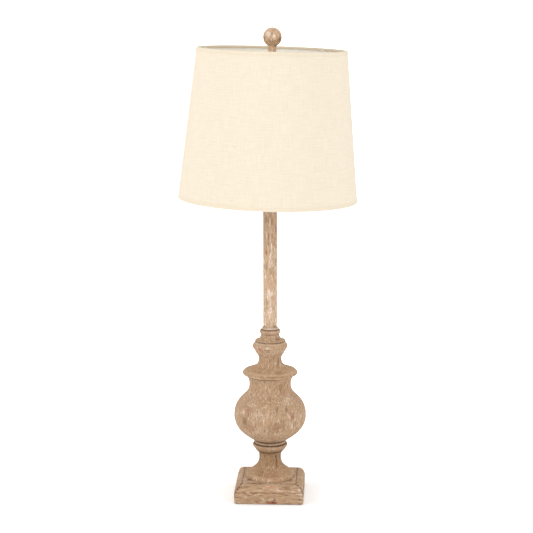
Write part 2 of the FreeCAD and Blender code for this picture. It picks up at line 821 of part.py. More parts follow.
def make_socket():
    """Brass cap and shell with their insulation, socket body, screw shell, contact and switch."""
    low = saddle_top
    hole, wall = d.pipe_hole_radius, d.socket_wall
    turned(
        "socket_cap",
        [
            (hole, low),
            (d.socket_neck_radius, low),
            (d.socket_neck_radius, low + d.socket_neck_height),
            (d.socket_cap_radius, low + d.socket_cap_shoulder),
            (d.socket_cap_radius, low + d.socket_cap_height),
            (d.socket_cap_radius - wall, low + d.socket_cap_height),
            (d.socket_cap_radius - wall, low + d.socket_cap_shoulder + wall),
            (d.socket_neck_radius, low + d.socket_neck_height + d.socket_cap_floor),
            (hole, low + d.socket_neck_height + d.socket_cap_floor),
        ],
        {2: (d.socket_cap_rounding, -1), 6: (d.socket_cap_rounding, 1)},
    )
    key_height = low + d.key_height
    outward = FreeCAD.Rotation(AXIS_X, 90)
    for node, radius, thickness, bottom, top in (
        ("socket_shell", d.shell_radius, d.shell_wall, d.shell_bottom, d.shell_top),
        ("insulating_sleeve", d.sleeve_paper_radius, d.sleeve_paper_wall, d.paper_bottom, d.paper_top),
    ):
        wall_tube = tube(f"{node}_tube", radius, radius - thickness, top - bottom, z=low + bottom)
        window = rod(f"{node}_window", d.key_hole_radius, radius, z=key_height, rotation=outward)
        keep(node, cut(node, wall_tube, window))

    core = rod("socket_core", d.body_radius, d.body_top - d.paper_bottom, z=low + d.paper_bottom)
    key_bore = rod("socket_key_bore", d.key_bore_radius, d.body_radius, y=d.key_end_gap - d.key_inner_end,
                   z=key_height, rotation=outward)
    shanks = [
        rod(f"terminal_hole_{side}", d.terminal_shank_radius, d.terminal_shank_length,
            x=offset, z=low + d.paper_bottom)
        for side, offset in (("right", d.terminal_offset), ("left", -d.terminal_offset))
    ]
    keep("socket_body", cut("socket_body", core, fuse("socket_core_holes", key_bore, *shanks)))
    screws = []
    for side, offset in (("right", d.terminal_offset), ("left", -d.terminal_offset)):
        shank = rod(f"terminal_shank_{side}", d.terminal_shank_radius, d.terminal_shank_length,
                    x=offset, z=low + d.paper_bottom)
        head = rod(f"terminal_head_{side}", d.terminal_head_radius, d.terminal_head_height,
                   x=offset, z=low + d.paper_bottom - d.terminal_head_height)
        screws.append(fuse(f"terminal_screw_{side}", shank, head))
    group = doc.addObject("Part::Compound", "terminal_screws")
    group.Links = screws
    keep("terminal_screws", group)

    keep("screw_shell", tube("screw_shell", d.screw_shell_radius, d.screw_shell_radius - d.screw_shell_wall,
                             d.screw_shell_top - d.body_top, z=low + d.body_top))
    keep("centre_contact", rod("centre_contact", d.contact_radius, d.contact_thickness, z=low + d.body_top))
    keep("key_shaft", rod("key_shaft", d.key_shaft_radius, d.knob_start - d.key_inner_end,
                          y=-d.key_inner_end, z=key_height, rotation=outward))

    body = doc.addObject("PartDesign::Body", "switch_knob")
    half_straight = d.knob_half_width - d.knob_half_thickness
    sketch = sketch_on(body, "XZ_Plane", "knob_section")
    draw(
        sketch,
        [
            (-half_straight, -d.knob_half_thickness),
            (half_straight, -d.knob_half_thickness),
            (half_straight, d.knob_half_thickness),
            (-half_straight, d.knob_half_thickness),
        ],
        {1: (d.knob_end_rounding, -1), 3: (d.knob_end_rounding, -1)},
    )
    pad = body.newObject("PartDesign::Pad", "knob_pad")
    pad.Profile = sketch
    bind(pad, Length=d.knob_length)
    place(body, y=-d.knob_start, z=key_height)
    keep("switch_knob", body)


def make_bulb():
    """A household bulb: glass, screw base, insulator and tip."""
    tip = saddle_top + d.tip_bottom
    insulator_bottom = tip + d.tip_height
    base_bottom = insulator_bottom + d.insulator_height
    bore = d.bulb_base_radius - d.bulb_base_wall
    keep("bulb_tip", rod("bulb_tip", d.tip_radius, d.tip_height, z=tip))
    cone = doc.addObject("Part::Cone", "bulb_insulator")
    bind(cone, Radius1=d.tip_radius, Radius2=bore, Height=d.insulator_height)
    place(cone, z=insulator_bottom)
    keep("bulb_insulator", cone)
    turned(
        "bulb_base",
        [
            (0, base_bottom),
            (d.bulb_base_radius, base_bottom),
            (d.bulb_base_radius, base_bottom + d.bulb_base_height),
            (bore, base_bottom + d.bulb_base_height),
            (bore, base_bottom + d.bulb_base_floor),
            (0, base_bottom + d.bulb_base_floor),
        ],
    )
    bottom = tip + d.glass_bottom_above_tip
    centre = tip + d.glass_centre_above_tip
    cone_top = bottom + d.glass_neck_length + d.glass_cone_length
    wall = d.glass_wall
    turned(
        "bulb_glass",
        [
            (0, bottom),
            (d.glass_neck_radius, bottom),
            (d.glass_neck_radius, bottom + d.glass_neck_length),
            (d.glass_cone_radius, cone_top),
            (d.glass_radius, centre),
            (0, centre + d.glass_radius),
            (0, centre + d.glass_radius - wall),
            (d.glass_radius - wall, centre),
            (d.glass_cone_radius - wall, cone_top),
            (d.glass_neck_radius - wall, bottom + d.glass_neck_length + wall / 2),
            (d.glass_neck_radius - wall, bottom + wall),
            (0, bottom + wall),
        ],
        {
            3: (d.glass_radius, -1),
            4: (d.glass_radius, -1),
            6: (d.glass_radius - wall, 1),
            7: (d.glass_radius - wall, 1),
        },
    )


# ---------------------------------------------------------------- shade


def shade_radius(up):
    """Outer radius of the shade at a height above the seat."""
    taper = (d.shade_bottom_radius - d.shade_top_radius) / (d.shade_top - d.shade_bottom)
    return d.shade_bottom_radius - taper * (up - d.shade_bottom)


def make_shade():
    """Linen cover, liner, turned-in hems and wire rings, all about the stud's axis."""
    low, high = d.shade_bottom + d.cloth, d.shade_top - d.cloth
    inside = d.cloth + d.liner
    on_seat(turned("shade_cover", [
        (shade_radius(low) - d.cloth, low),
        (shade_radius(low), low),
        (shade_radius(high), high),
        (shade_radius(high) - d.cloth, high),
    ]))
    on_seat(turned("shade_liner", [
        (shade_radius(low) - inside, low),
        (shade_radius(low) - d.cloth, low),
        (shade_radius(high) - d.cloth, high),
        (shade_radius(high) - inside, high),
    ]))
    for node, rim, edge, leg_end in (
        ("top_hem", d.shade_top, high, d.shade_top - d.hem_height),
        ("bottom_hem", d.shade_bottom, low, d.shade_bottom + d.hem_height),
    ):
        corners = [
            (shade_radius(rim), rim),
            (shade_radius(rim) - d.hem_width, rim),
            (shade_radius(leg_end) - d.hem_width, leg_end),
            (shade_radius(leg_end) - d.hem_width + d.cloth, leg_end),
            (shade_radius(edge) - d.hem_width + d.cloth, edge),
            (shade_radius(edge), edge),
        ]
        on_seat(turned(node, corners))
    ring_inset = (d.hem_width + inside - d.cloth) / 2
    gap = d.cloth + d.ring_wire_radius + d.ring_gap
    for node, height in (("top_ring", d.shade_top - gap), ("bottom_ring", d.shade_bottom + gap)):
        ring = doc.addObject("Part::Torus", node)
        bind(ring, Radius1=shade_radius(height) - ring_inset, Radius2=d.ring_wire_radius)
        x = seat_x + height * sine(d.shade_tilt)
        z = seat_z + height * cosine(d.shade_tilt)
        place(ring, x=x, z=z, rotation=FreeCAD.Rotation(AXIS_Y, d.shade_tilt.value))
        keep(node, ring)


def make_spider():
    """Hub washer with three arms that rise to the top ring."""
    body = doc.addObject("PartDesign::Body", "spider")
    hub = sketch_on(body, "XZ_Plane", "hub_section")
    hub_top = d.seat_gap + d.hub_thickness
    draw(hub, [(d.hub_hole_radius, d.seat_gap), (d.hub_radius, d.seat_gap),
               (d.hub_radius, hub_top), (d.hub_hole_radius, hub_top)])
    washer = body.newObject("PartDesign::Revolution", "hub")
    washer.Profile = hub
    washer.ReferenceAxis = (hub, ["V_Axis"])
    washer.Angle = 360

    level = hub_top - d.arm_radius
    start = d.hub_radius - d.arm_radius
    easing = d.arm_knee_rounding * tangent(d.arm_rise / 2)
    knee_across = d.arm_knee + easing * cosine(d.arm_rise)
    knee_up = level + easing * sine(d.arm_rise)
    end_up = knee_up + (d.arm_end - knee_across) * tangent(d.arm_rise)
    path = sketch_on(body, "XZ_Plane", "arm_path")
    draw(
        path,
        [(start, level), (d.arm_knee - easing, level), (knee_across, knee_up), (d.arm_end, end_up)],
        {1: (d.arm_knee_rounding, -1)},
        closed=False,
    )
    section = sketch_on(body, "YZ_Plane", "arm_section")
    section.AttachmentOffset = FreeCAD.Placement(FreeCAD.Vector(0, 0, start.value), NO_TURN)
    section.setExpression("AttachmentOffset.Base.z", start.formula)
    draw_circle(section, d.arm_radius, 0, level)
    doc.recompute()
    arm = body.newObject("PartDesign::AdditivePipe", "arm")
    arm.Profile = section
    arm.Spine = path
    doc.recompute()
    arms = body.newObject("PartDesign::PolarPattern", "arms")
    arms.Originals = [arm]
    arms.Axis = (hub, ["V_Axis"])
    arms.Angle = 360
    arms.Occurrences = 3
    body.Tip = arms
    on_seat(body, d.arm_turn.value)
    keep("spider", body)


# ---------------------------------------------------------------- finial


def make_finial():
    """Wooden ball on a turned neck, with a threaded brass insert."""
    low, high = d.finial_ball_height, d.finial_ball_height + d.finial_ball_radius
    insert_top = d.finial_bottom + d.insert_length
    on_seat(turned(
        "finial_ball",
        [
            (d.insert_hole_radius, d.finial_bottom),
            (d.finial_foot_radius, d.finial_bottom),
            (d.finial_foot_radius, d.finial_foot_height),
            (d.finial_stem_radius, d.finial_foot_height + d.finial_foot_slope),
            (d.finial_stem_radius, d.finial_stem_height),
            (d.finial_neck_radius, d.finial_neck_height),
            (d.finial_throat_radius, d.finial_throat_height),
            (d.finial_ball_radius, low),
            (0, high),
            (0, insert_top + d.insert_end_gap),
            (d.insert_hole_radius, insert_top + d.insert_end_gap),
        ],
        {6: (d.finial_ball_radius, -1), 7: (d.finial_ball_radius, -1)},
    ))
    on_seat(turned("finial_insert", [
        (d.insert_bore_radius, d.finial_bottom),
        (d.insert_radius, d.finial_bottom),
        (d.insert_radius, insert_top),
        (d.insert_bore_radius, insert_top),
    ]))


make_stud()
make_socket()
make_bulb()
make_shade()
make_spider()
make_finial()
doc.recompute()


# ---------------------------------------------------------------- checks and writing


def check_document():
    """Stop if anything in the document has failed or is not a sound shape."""
    for thing in doc.Objects:
        if {"Invalid", "Error"} & set(thing.State):
            raise RuntimeError(f"{thing.Name} failed: {thing.State}")
    for node, thing in nodes.items():
        if thing.Shape.isNull() or not thing.Shape.isValid():
            raise RuntimeError(f"{node} is not a valid shape")


def write_parts():
    os.makedirs("parts", exist_ok=True)
    for node, thing in nodes.items():
        thing.Shape.exportStep(f"parts/{node}.step")
        box = thing.Shape.BoundBox
        print(f"{node:20s} {thing.Shape.Volume / 1000:9.3f} cm3  z {box.ZMin:7.2f} to {box.ZMax:7.2f}"
              f"  x {box.XMin:8.2f} to {box.XMax:8.2f}")


check_document()
write_parts()
print(f"seat of the shade at x {seat_x.value:.2f}, z {seat_z.value:.2f}")
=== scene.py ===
import json
import math

import bpy
import numpy as np
from mathutils import Matrix, Vector


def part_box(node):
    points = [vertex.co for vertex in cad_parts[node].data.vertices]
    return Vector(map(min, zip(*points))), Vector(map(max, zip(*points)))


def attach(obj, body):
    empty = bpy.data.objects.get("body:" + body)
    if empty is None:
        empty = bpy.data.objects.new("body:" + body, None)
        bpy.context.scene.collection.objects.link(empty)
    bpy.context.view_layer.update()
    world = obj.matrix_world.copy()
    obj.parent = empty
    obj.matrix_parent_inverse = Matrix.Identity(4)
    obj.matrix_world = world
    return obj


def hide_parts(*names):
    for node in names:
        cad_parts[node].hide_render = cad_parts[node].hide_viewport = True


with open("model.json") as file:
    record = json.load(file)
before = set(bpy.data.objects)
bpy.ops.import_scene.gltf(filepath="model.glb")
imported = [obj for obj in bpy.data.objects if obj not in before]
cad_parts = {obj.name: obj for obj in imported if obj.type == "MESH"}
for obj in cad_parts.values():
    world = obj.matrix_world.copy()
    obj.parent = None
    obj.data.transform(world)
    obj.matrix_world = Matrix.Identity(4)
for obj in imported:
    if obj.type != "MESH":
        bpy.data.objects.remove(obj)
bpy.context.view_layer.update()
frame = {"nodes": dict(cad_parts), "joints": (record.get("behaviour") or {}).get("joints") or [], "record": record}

# Looks of the candlestick lamp. Metres, +Z up, front towards -Y.

MM = 0.001
WELD = 0.01 * MM
CLEAR = 0.03 * MM
FULL_TURN = 2 * math.pi
FAR_OUT = 0.3  # farther from the axis than any piece
nodes = frame["nodes"]


# ------------------------------ the workbench


def nothing_selected():
    if bpy.context.mode != "OBJECT":
        bpy.ops.object.mode_set(mode="OBJECT")
    bpy.ops.object.select_all(action="DESELECT")


def active_only(piece):
    nothing_selected()
    piece.select_set(True)
    bpy.context.view_layer.objects.active = piece


def draw_line(name, points):
    """A new piece in edit mode: one line through points, drawn as by hand from a single point."""
    nothing_selected()
    bpy.ops.mesh.primitive_plane_add(size=MM)
    piece = bpy.context.object
    piece.name = piece.data.name = name
    bpy.ops.object.mode_set(mode="EDIT")
    bpy.ops.mesh.select_all(action="SELECT")
    bpy.ops.mesh.merge(type="CENTER")
    bpy.ops.transform.translate(value=points[0])
    for before, after in zip(points, points[1:]):
        bpy.ops.mesh.extrude_vertices_move(TRANSFORM_OT_translate={"value": Vector(after) - Vector(before)})
    bpy.ops.mesh.select_all(action="SELECT")
    bpy.ops.mesh.remove_doubles(threshold=WELD)
    return piece


def close_up():
    """Weld what meets, turn the faces outward and leave edit mode."""
    bpy.ops.mesh.select_all(action="SELECT")
    bpy.ops.mesh.remove_doubles(threshold=WELD)
    bpy.ops.mesh.select_all(action="SELECT")
    bpy.ops.mesh.normals_make_consistent(inside=False)
    bpy.ops.object.mode_set(mode="OBJECT")


def turn(name, outline, steps, placing=None):
    """Turn a closed outline of (radius, height) about Z, then stand it at its place."""
    piece = draw_line(name, [(radius, 0, height) for radius, height in outline])
    bpy.ops.mesh.spin(steps=steps, angle=FULL_TURN, center=(0, 0, 0), axis=(0, 0, 1))
    close_up()
    bpy.ops.object.shade_smooth()
    if placing is not None:
        stand(piece, placing)
    return piece


def stand(piece, placing):
    """Move the mesh itself to a place; the object stays at the origin."""
    active_only(piece)
    piece.matrix_world = placing
    bpy.ops.object.transform_apply(location=True, rotation=True, scale=True)


def points_of(piece):
    places = np.empty(len(piece.data.vertices) * 3)
    piece.data.vertices.foreach_get("co", places)
    return places.reshape(-1, 3)


def radii_of(places):
    """Distance of each place from the axis."""
    return np.hypot(places[:, 0], places[:, 1])


def near(values, middle, half_width):
    """1 on a line, falling off on both sides of it."""
    return np.exp(-((values - middle) / half_width) ** 2)


def mark(piece, name, values):
    """Keep one value for each point of the mesh, for the material to read."""
    layer = piece.data.attributes.new(name=name, type="FLOAT", domain="POINT")
    layer.data.foreach_set("value", np.asarray(values, dtype=np.float32))


def group_of(piece, name, weights):
    """A vertex group from one weight for each point."""
    group = piece.vertex_groups.new(name=name)
    rounded = np.round(np.clip(weights, 0, 1), 2)
    for weight in np.unique(rounded):
        group.add([int(i) for i in np.flatnonzero(rounded == weight)], float(weight), "REPLACE")


def apply_all(piece):
    active_only(piece)
    for modifier in list(piece.modifiers):
        bpy.ops.object.modifier_apply(modifier=modifier.name)


def stretcher(name, stretch):
    """An empty whose scale stretches a relief along one way of the piece."""
    empty = bpy.data.objects.new(name, None)
    bpy.context.scene.collection.objects.link(empty)
    empty.scale = stretch
    return empty


def cloud(name, size, depth):
    """A cloudy relief: the size of its lumps, and how many finer layers lie on them."""
    texture = bpy.data.textures.new(name, "CLOUDS")
    texture.noise_scale = size
    texture.noise_depth = depth
    return texture


def roughen(piece, texture, depth, stretch=None):
    """Press a relief into the outside of a piece."""
    modifier = piece.modifiers.new("relief", "DISPLACE")
    modifier.texture = texture
    modifier.strength = depth
    modifier.vertex_group = "outside"
    if stretch is None:
        modifier.texture_coords = "LOCAL"
    else:
        modifier.texture_coords = "OBJECT"
        modifier.texture_coords_object = stretch


def lying_rod(radius, length, place):
    """A rod from front to back, to cut with."""
    nothing_selected()
    bpy.ops.mesh.primitive_cylinder_add(radius=radius, depth=length, location=place,
                                        rotation=(math.pi / 2, 0, 0), vertices=48)
    return bpy.context.object


def cut_away(piece, *tools):
    """Cut the tools out of a piece, then throw them away."""
    for tool in tools:
        modifier = piece.modifiers.new("cut", "BOOLEAN")
        modifier.operation = "DIFFERENCE"
        modifier.object = tool
        modifier.solver = "EXACT"
    apply_all(piece)
    for tool in tools:
        bpy.data.objects.remove(tool)


def soften(piece, degrees):
    """Shade a piece smooth, with the edges above an angle left sharp."""
    active_only(piece)
    bpy.ops.object.shade_smooth_by_angle(angle=math.radians(degrees))


def finish_piece(piece, node, body, slot, look=None):
    """Give a new piece its look, hide the CAD node it stands for, and attach it to the body it moves with."""
    piece.data.materials.clear()
    piece.data.materials.append(materials[look or slot])
    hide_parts(node)
    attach(piece, body)


# ------------------------------ the seat of the shade and finial

joint = next(j for j in frame["joints"] if j["name"] == "shade_turn")
seat_way = Vector(joint["axis"]).normalized()
seat_place = Vector(joint["pos_m"])
seat = Matrix.Translation(seat_place) @ Vector((0, 0, 1)).rotation_difference(seat_way).to_matrix().to_4x4()


def corners_of(node, placing=seat):
    """The corners of a CAD node as seen from a placing, with their lowest and highest Z."""
    back = placing.inverted()
    corners = [back @ v.co for v in nodes[node].data.vertices]
    heights = [c.z for c in corners]
    return corners, min(heights), max(heights)


def points_on_seat(piece):
    """The points of a piece as seen from the seat."""
    back = np.array(seat.inverted())
    return points_of(piece) @ back[:3, :3].T + back[:3, 3]


def outline_of(node, step, placing=Matrix.Identity(4)):
    """Side (radius, height), bore radius, foot and head of a turned CAD piece."""
    mesh = nodes[node]
    back = placing.inverted()
    corners, low, high = corners_of(node, placing)
    bore = min(c.xy.length for c in corners)
    # a little beside the X axis, so that no ray runs along an edge
    way = 0.012
    inward = Vector((-math.cos(way), -math.sin(way), 0))
    count = max(2, round((high - low) / step))
    side = []
    for i in range(count + 1):
        height = low + CLEAR + (high - low - 2 * CLEAR) * i / count
        start = placing @ (Vector((0, 0, height)) - inward * FAR_OUT)
        found, place, _, _ = mesh.ray_cast(start, placing.to_3x3() @ inward)
        if found:
            side.append(((back @ place).xy.length, height))
    side[0] = (side[0][0], low)
    side[-1] = (side[-1][0], high)
    if bore < MM:
        bore = 0
    return side, bore, low, high


def loop_of(side, bore, low, high):
    """Close an outline along its ends and bore."""
    ends_low = [(bore + (side[0][0] - bore) * t, low) for t in (0, 0.4, 0.75, 0.93)]
    ends_high = [(bore + (side[-1][0] - bore) * t, high) for t in (0.93, 0.75, 0.4, 0)]
    return ends_low + side + ends_high + ends_low[:1]


# ------------------------------ colours and node groups


def tone(red, green, blue):
    """A colour as seen on a screen, 0 to 255, as the shader wants it."""
    def straight(part):
        part /= 255
        return part / 12.92 if part <= 0.04045 else ((part + 0.055) / 1.055) ** 2.4
    return straight(red), straight(green), straight(blue), 1.0


class Wiring:
    """Puts nodes into one tree and joins them."""

    def __init__(self, tree):
        self.tree = tree

    def join(self, value, socket):
        self.tree.links.new(value, socket)

    def fill(self, node, inputs):
        """Set inputs to values, or join them to the outputs of other nodes."""
        for name, value in inputs.items():
            if isinstance(value, bpy.types.NodeSocket):
                self.join(value, node.inputs[name])
            else:
                node.inputs[name].default_value = value

    def add(self, kind, inputs=None, **settings):
        node = self.tree.nodes.new(kind)
        for name, value in settings.items():
            setattr(node, name, value)
        self.fill(node, inputs or {})
        return node

    def math(self, operation, *values, clamp=False):
        node = self.add("ShaderNodeMath", dict(enumerate(values)), operation=operation, use_clamp=clamp)
        return node.outputs[0]

    def vector(self, operation, *values):
        return self.add("ShaderNodeVectorMath", dict(enumerate(values)), operation=operation).outputs

    def stretch(self, vector, by):
        return self.vector("MULTIPLY", vector, by)[0]

    def shift(self, vector, by):
        return self.vector("ADD", vector, by)[0]

    def noise(self, vector, scale, detail=4.0, roughness=0.55):
        return self.add("ShaderNodeTexNoise", {"Vector": vector, "Scale": scale, "Detail": detail,
                                               "Roughness": roughness}).outputs["Fac"]

    def between(self, value, low, high, to_low=0.0, to_high=1.0):
        """From to_low below low to to_high above high, smooth in between."""
        return self.add("ShaderNodeMapRange", {"Value": value, "From Min": low, "From Max": high,
                                               "To Min": to_low, "To Max": to_high},
                        interpolation_type="SMOOTHSTEP").outputs["Result"]

    def mix(self, factor, first, second, blend="MIX"):
        sockets = {0: factor, 6: first, 7: second}
        return self.add("ShaderNodeMix", sockets, data_type="RGBA", blend_type=blend).outputs[2]

    def coat(self, colour, paint, mask, strength):
        """Lay a paint over a colour where the mask is."""
        return self.mix(self.math("MULTIPLY", mask, strength), colour, paint)

    def layer(self, name):
        return self.add("ShaderNodeAttribute", attribute_name=name).outputs["Fac"]

    def group(self, tree, **inputs):
        node = self.add("ShaderNodeGroup", node_tree=tree)
        self.fill(node, inputs)
        return node.outputs


def new_group(name, takes, gives):
    """A shader node group. An input without a value takes a vector; all others are plain numbers."""
    tree = bpy.data.node_groups.new(name, "ShaderNodeTree")
    for title, value in takes.items():
        kind = "NodeSocketVector" if value is None else "NodeSocketFloat"
        socket = tree.interface.new_socket(title, in_out="INPUT", socket_type=kind)
        if value is not None:
            socket.default_value = value
    for title in gives:
        tree.interface.new_socket(title, in_out="OUTPUT", socket_type="NodeSocketFloat")
    wiring = Wiring(tree)
    entry = wiring.add("NodeGroupInput").outputs
    leave = wiring.add("NodeGroupOutput").inputs
    return tree, wiring, entry, leave


def strokes_group():
    """Long strokes of grain: fine across, drawn out along Z."""
    tree, w, entry, leave = new_group(
        "grain_strokes",
        {"Vector": None, "Width": 0.003, "Length": 0.015, "Coverage": 0.4, "Softness": 0.08},
        ["Mask", "Height"],
    )
    across = w.math("DIVIDE", 1.0, entry["Width"])
    along = w.math("DIVIDE", 1.0, entry["Length"])
    size = w.add("ShaderNodeCombineXYZ", {0: across, 1: across, 2: along}).outputs[0]
    field = w.noise(w.stretch(entry["Vector"], size), 1.0, 5.0, 0.6)
    low = w.math("SUBTRACT", 0.72, w.math("MULTIPLY", entry["Coverage"], 0.44))
    mask = w.between(field, low, w.math("ADD", low, entry["Softness"]))
    w.join(mask, leave["Mask"])
    w.join(field, leave["Height"])
    return tree


def patches_group():
    """Ragged patches, as of a thin wash of paint."""
    tree, w, entry, leave = new_group(
        "wash_patches", {"Vector": None, "Size": 0.02, "Coverage": 0.5, "Softness": 0.1}, ["Mask"])
    scale = w.math("DIVIDE", 1.0, entry["Size"])
    field = w.noise(entry["Vector"], scale, 7.0, 0.62)
    low = w.math("SUBTRACT", 0.7, w.math("MULTIPLY", entry["Coverage"], 0.4))
    mask = w.between(field, low, w.math("ADD", low, entry["Softness"]))
    w.join(mask, leave["Mask"])
    return tree


def spot_group():
    """One ragged spot at a place on the piece."""
    tree, w, entry, leave = new_group(
        "worn_spot", {"Vector": None, "Place": None, "Reach": None, "Ragged": 0.5}, ["Mask"])
    away = w.vector("SUBTRACT", entry["Vector"], entry["Place"])[0]
    away = w.vector("DIVIDE", away, entry["Reach"])[0]
    length = w.vector("LENGTH", away)["Value"]
    length = w.math("ADD", length, w.math("MULTIPLY", w.math("SUBTRACT", entry["Ragged"], 0.5), 2.6))
    w.join(w.between(length, 0.55, 1.15, 1.0, 0.0), leave["Mask"])
    return tree


def crevice_group():
    """A broken-up mask, used for painted shade in hollows and for wear on ridges."""
    tree, w, entry, leave = new_group(
        "hollow_shade_and_ridge_wear", {"Vector": None, "Hollow": 0.0, "Breakup": 0.5}, ["Mask"])
    broken = w.math("SUBTRACT", w.noise(entry["Vector"], 260.0), 0.5)
    broken = w.math("MULTIPLY", broken, entry["Breakup"])
    mask = w.between(w.math("ADD", entry["Hollow"], broken), 0.12, 0.62)
    w.join(mask, leave["Mask"])
    return tree


def weave_group():
    """Plain weave on a flat map in metres: fine threads with slubs both ways."""
    tree, w, entry, leave = new_group(
        "plain_weave", {"Map": None, "Pitch": 0.0006, "Slub": 0.5}, ["Height", "Thread", "Fleck"])
    parts = w.add("ShaderNodeSeparateXYZ", {0: entry["Map"]}).outputs
    waves = []
    for axis, phase in ((0, 0.0), (1, math.pi / 2)):
        turns = w.math("MULTIPLY", w.math("DIVIDE", parts[axis], entry["Pitch"]), FULL_TURN)
        waves.append(w.math("SINE", w.math("ADD", turns, phase)))
    weave = w.math("MULTIPLY", waves[0], waves[1])
    lying = w.noise(w.stretch(entry["Map"], (34.0, 620.0, 1.0)), 1.0, 5.0, 0.7)
    upright = w.noise(w.stretch(entry["Map"], (620.0, 34.0, 1.0)), 1.0, 5.0, 0.7)
    slubs = w.math("MULTIPLY", w.math("SUBTRACT", w.math("ADD", lying, upright), 1.0), entry["Slub"])
    w.join(w.math("ADD", w.math("MULTIPLY", weave, 0.4), slubs), leave["Height"])
    w.join(w.math("ADD", w.math("MULTIPLY", slubs, 2.4), 0.5, clamp=True), leave["Thread"])
    fleck = w.noise(w.stretch(entry["Map"], (150.0, 330.0, 1.0)), 1.0, 2.0, 0.5)
    w.join(w.between(fleck, 0.7, 0.76), leave["Fleck"])
    return tree


def mottle_group():
    """Fine mottling for plain surfaces."""
    tree, w, entry, leave = new_group("fine_mottle", {"Vector": None, "Size": 0.004}, ["Value", "Scratch"])
    scale = w.math("DIVIDE", 1.0, entry["Size"])
    w.join(w.noise(entry["Vector"], scale, 6.0, 0.6), leave["Value"])
    drawn = w.noise(w.stretch(entry["Vector"], (1.0, 1.0, 9.0)), w.math("MULTIPLY", scale, 3.0), 3.0, 0.6)
    w.join(drawn, leave["Scratch"])
    return tree


strokes = strokes_group()
patches = patches_group()
spot = spot_group()
crevices = crevice_group()
weave = weave_group()
mottle = mottle_group()


def rewire(owner):
    """The wiring of a material or world, with nothing in it yet."""
    owner.use_nodes = True
    owner.node_tree.nodes.clear()
    return Wiring(owner.node_tree)


def new_material(name):
    """A material, its wiring, its shader and its Object coordinates."""
    material = bpy.data.materials.new(name)
    w = rewire(material)
    shader = w.add("ShaderNodeBsdfPrincipled")
    w.join(shader.outputs[0], w.add("ShaderNodeOutputMaterial").inputs[0])
    place = w.add("ShaderNodeTexCoord").outputs["Object"]
    return material, w, shader, place


def raise_surface(w, shader, height, distance, strength=1.0):
    bump = w.add("ShaderNodeBump", {"Height": height, "Distance": distance, "Strength": strength})
    w.join(bump.outputs[0], shader.inputs["Normal"])


# wash colours of the wood
PALE = tone(224, 196, 167)
WHITE = tone(240, 219, 196)
MIDDLE = tone(199, 165, 131)
BROWN = tone(150, 112, 80)
DARK = tone(84, 54, 36)
RED = tone(166, 108, 78)
ORANGE = tone(196, 122, 82)
RUST = tone(134, 72, 52)

# brightness at heights from 0 to 1 of TONE_RAMP_TOP: strength, and how much cooler than the wood; partly the light
# wash, partly painted shade (in the pedestal's neck, under the disc and on the stem's top beneath the shade) and
# painted light (on the lower stem and the finial)
TONE_AND_SHADE_BY_HEIGHT = [
    (0.000, 0.87, 0.02), (0.024, 0.84, 0.0), (0.039, 0.84, 0.0), (0.0412, 1.06, 0.03),
    (0.0432, 0.96, 0.0), (0.048, 0.79, -0.05), (0.060, 0.78, -0.05), (0.072, 0.65, -0.07),
    (0.092, 0.63, -0.07), (0.100, 0.64, -0.05), (0.114, 0.82, 0.0), (0.128, 0.87, 0.02),
    (0.180, 0.89, 0.02), (0.230, 0.86, 0.02), (0.258, 0.86, 0.0), (0.266, 0.84, -0.05),
    (0.276, 0.84, -0.04), (0.292, 0.87, 0.03), (0.318, 0.95, 0.04), (0.340, 0.86, 0.02),
    (0.362, 0.98, 0.06), (0.380, 1.18, 0.10), (0.480, 1.10, 0.07), (0.620, 0.98, 0.05),
    (0.900, 1.02, 0.02), (0.940, 1.10, 0.02), (1.000, 1.16, 0.02),
]
TONE_RAMP_TOP = 0.82

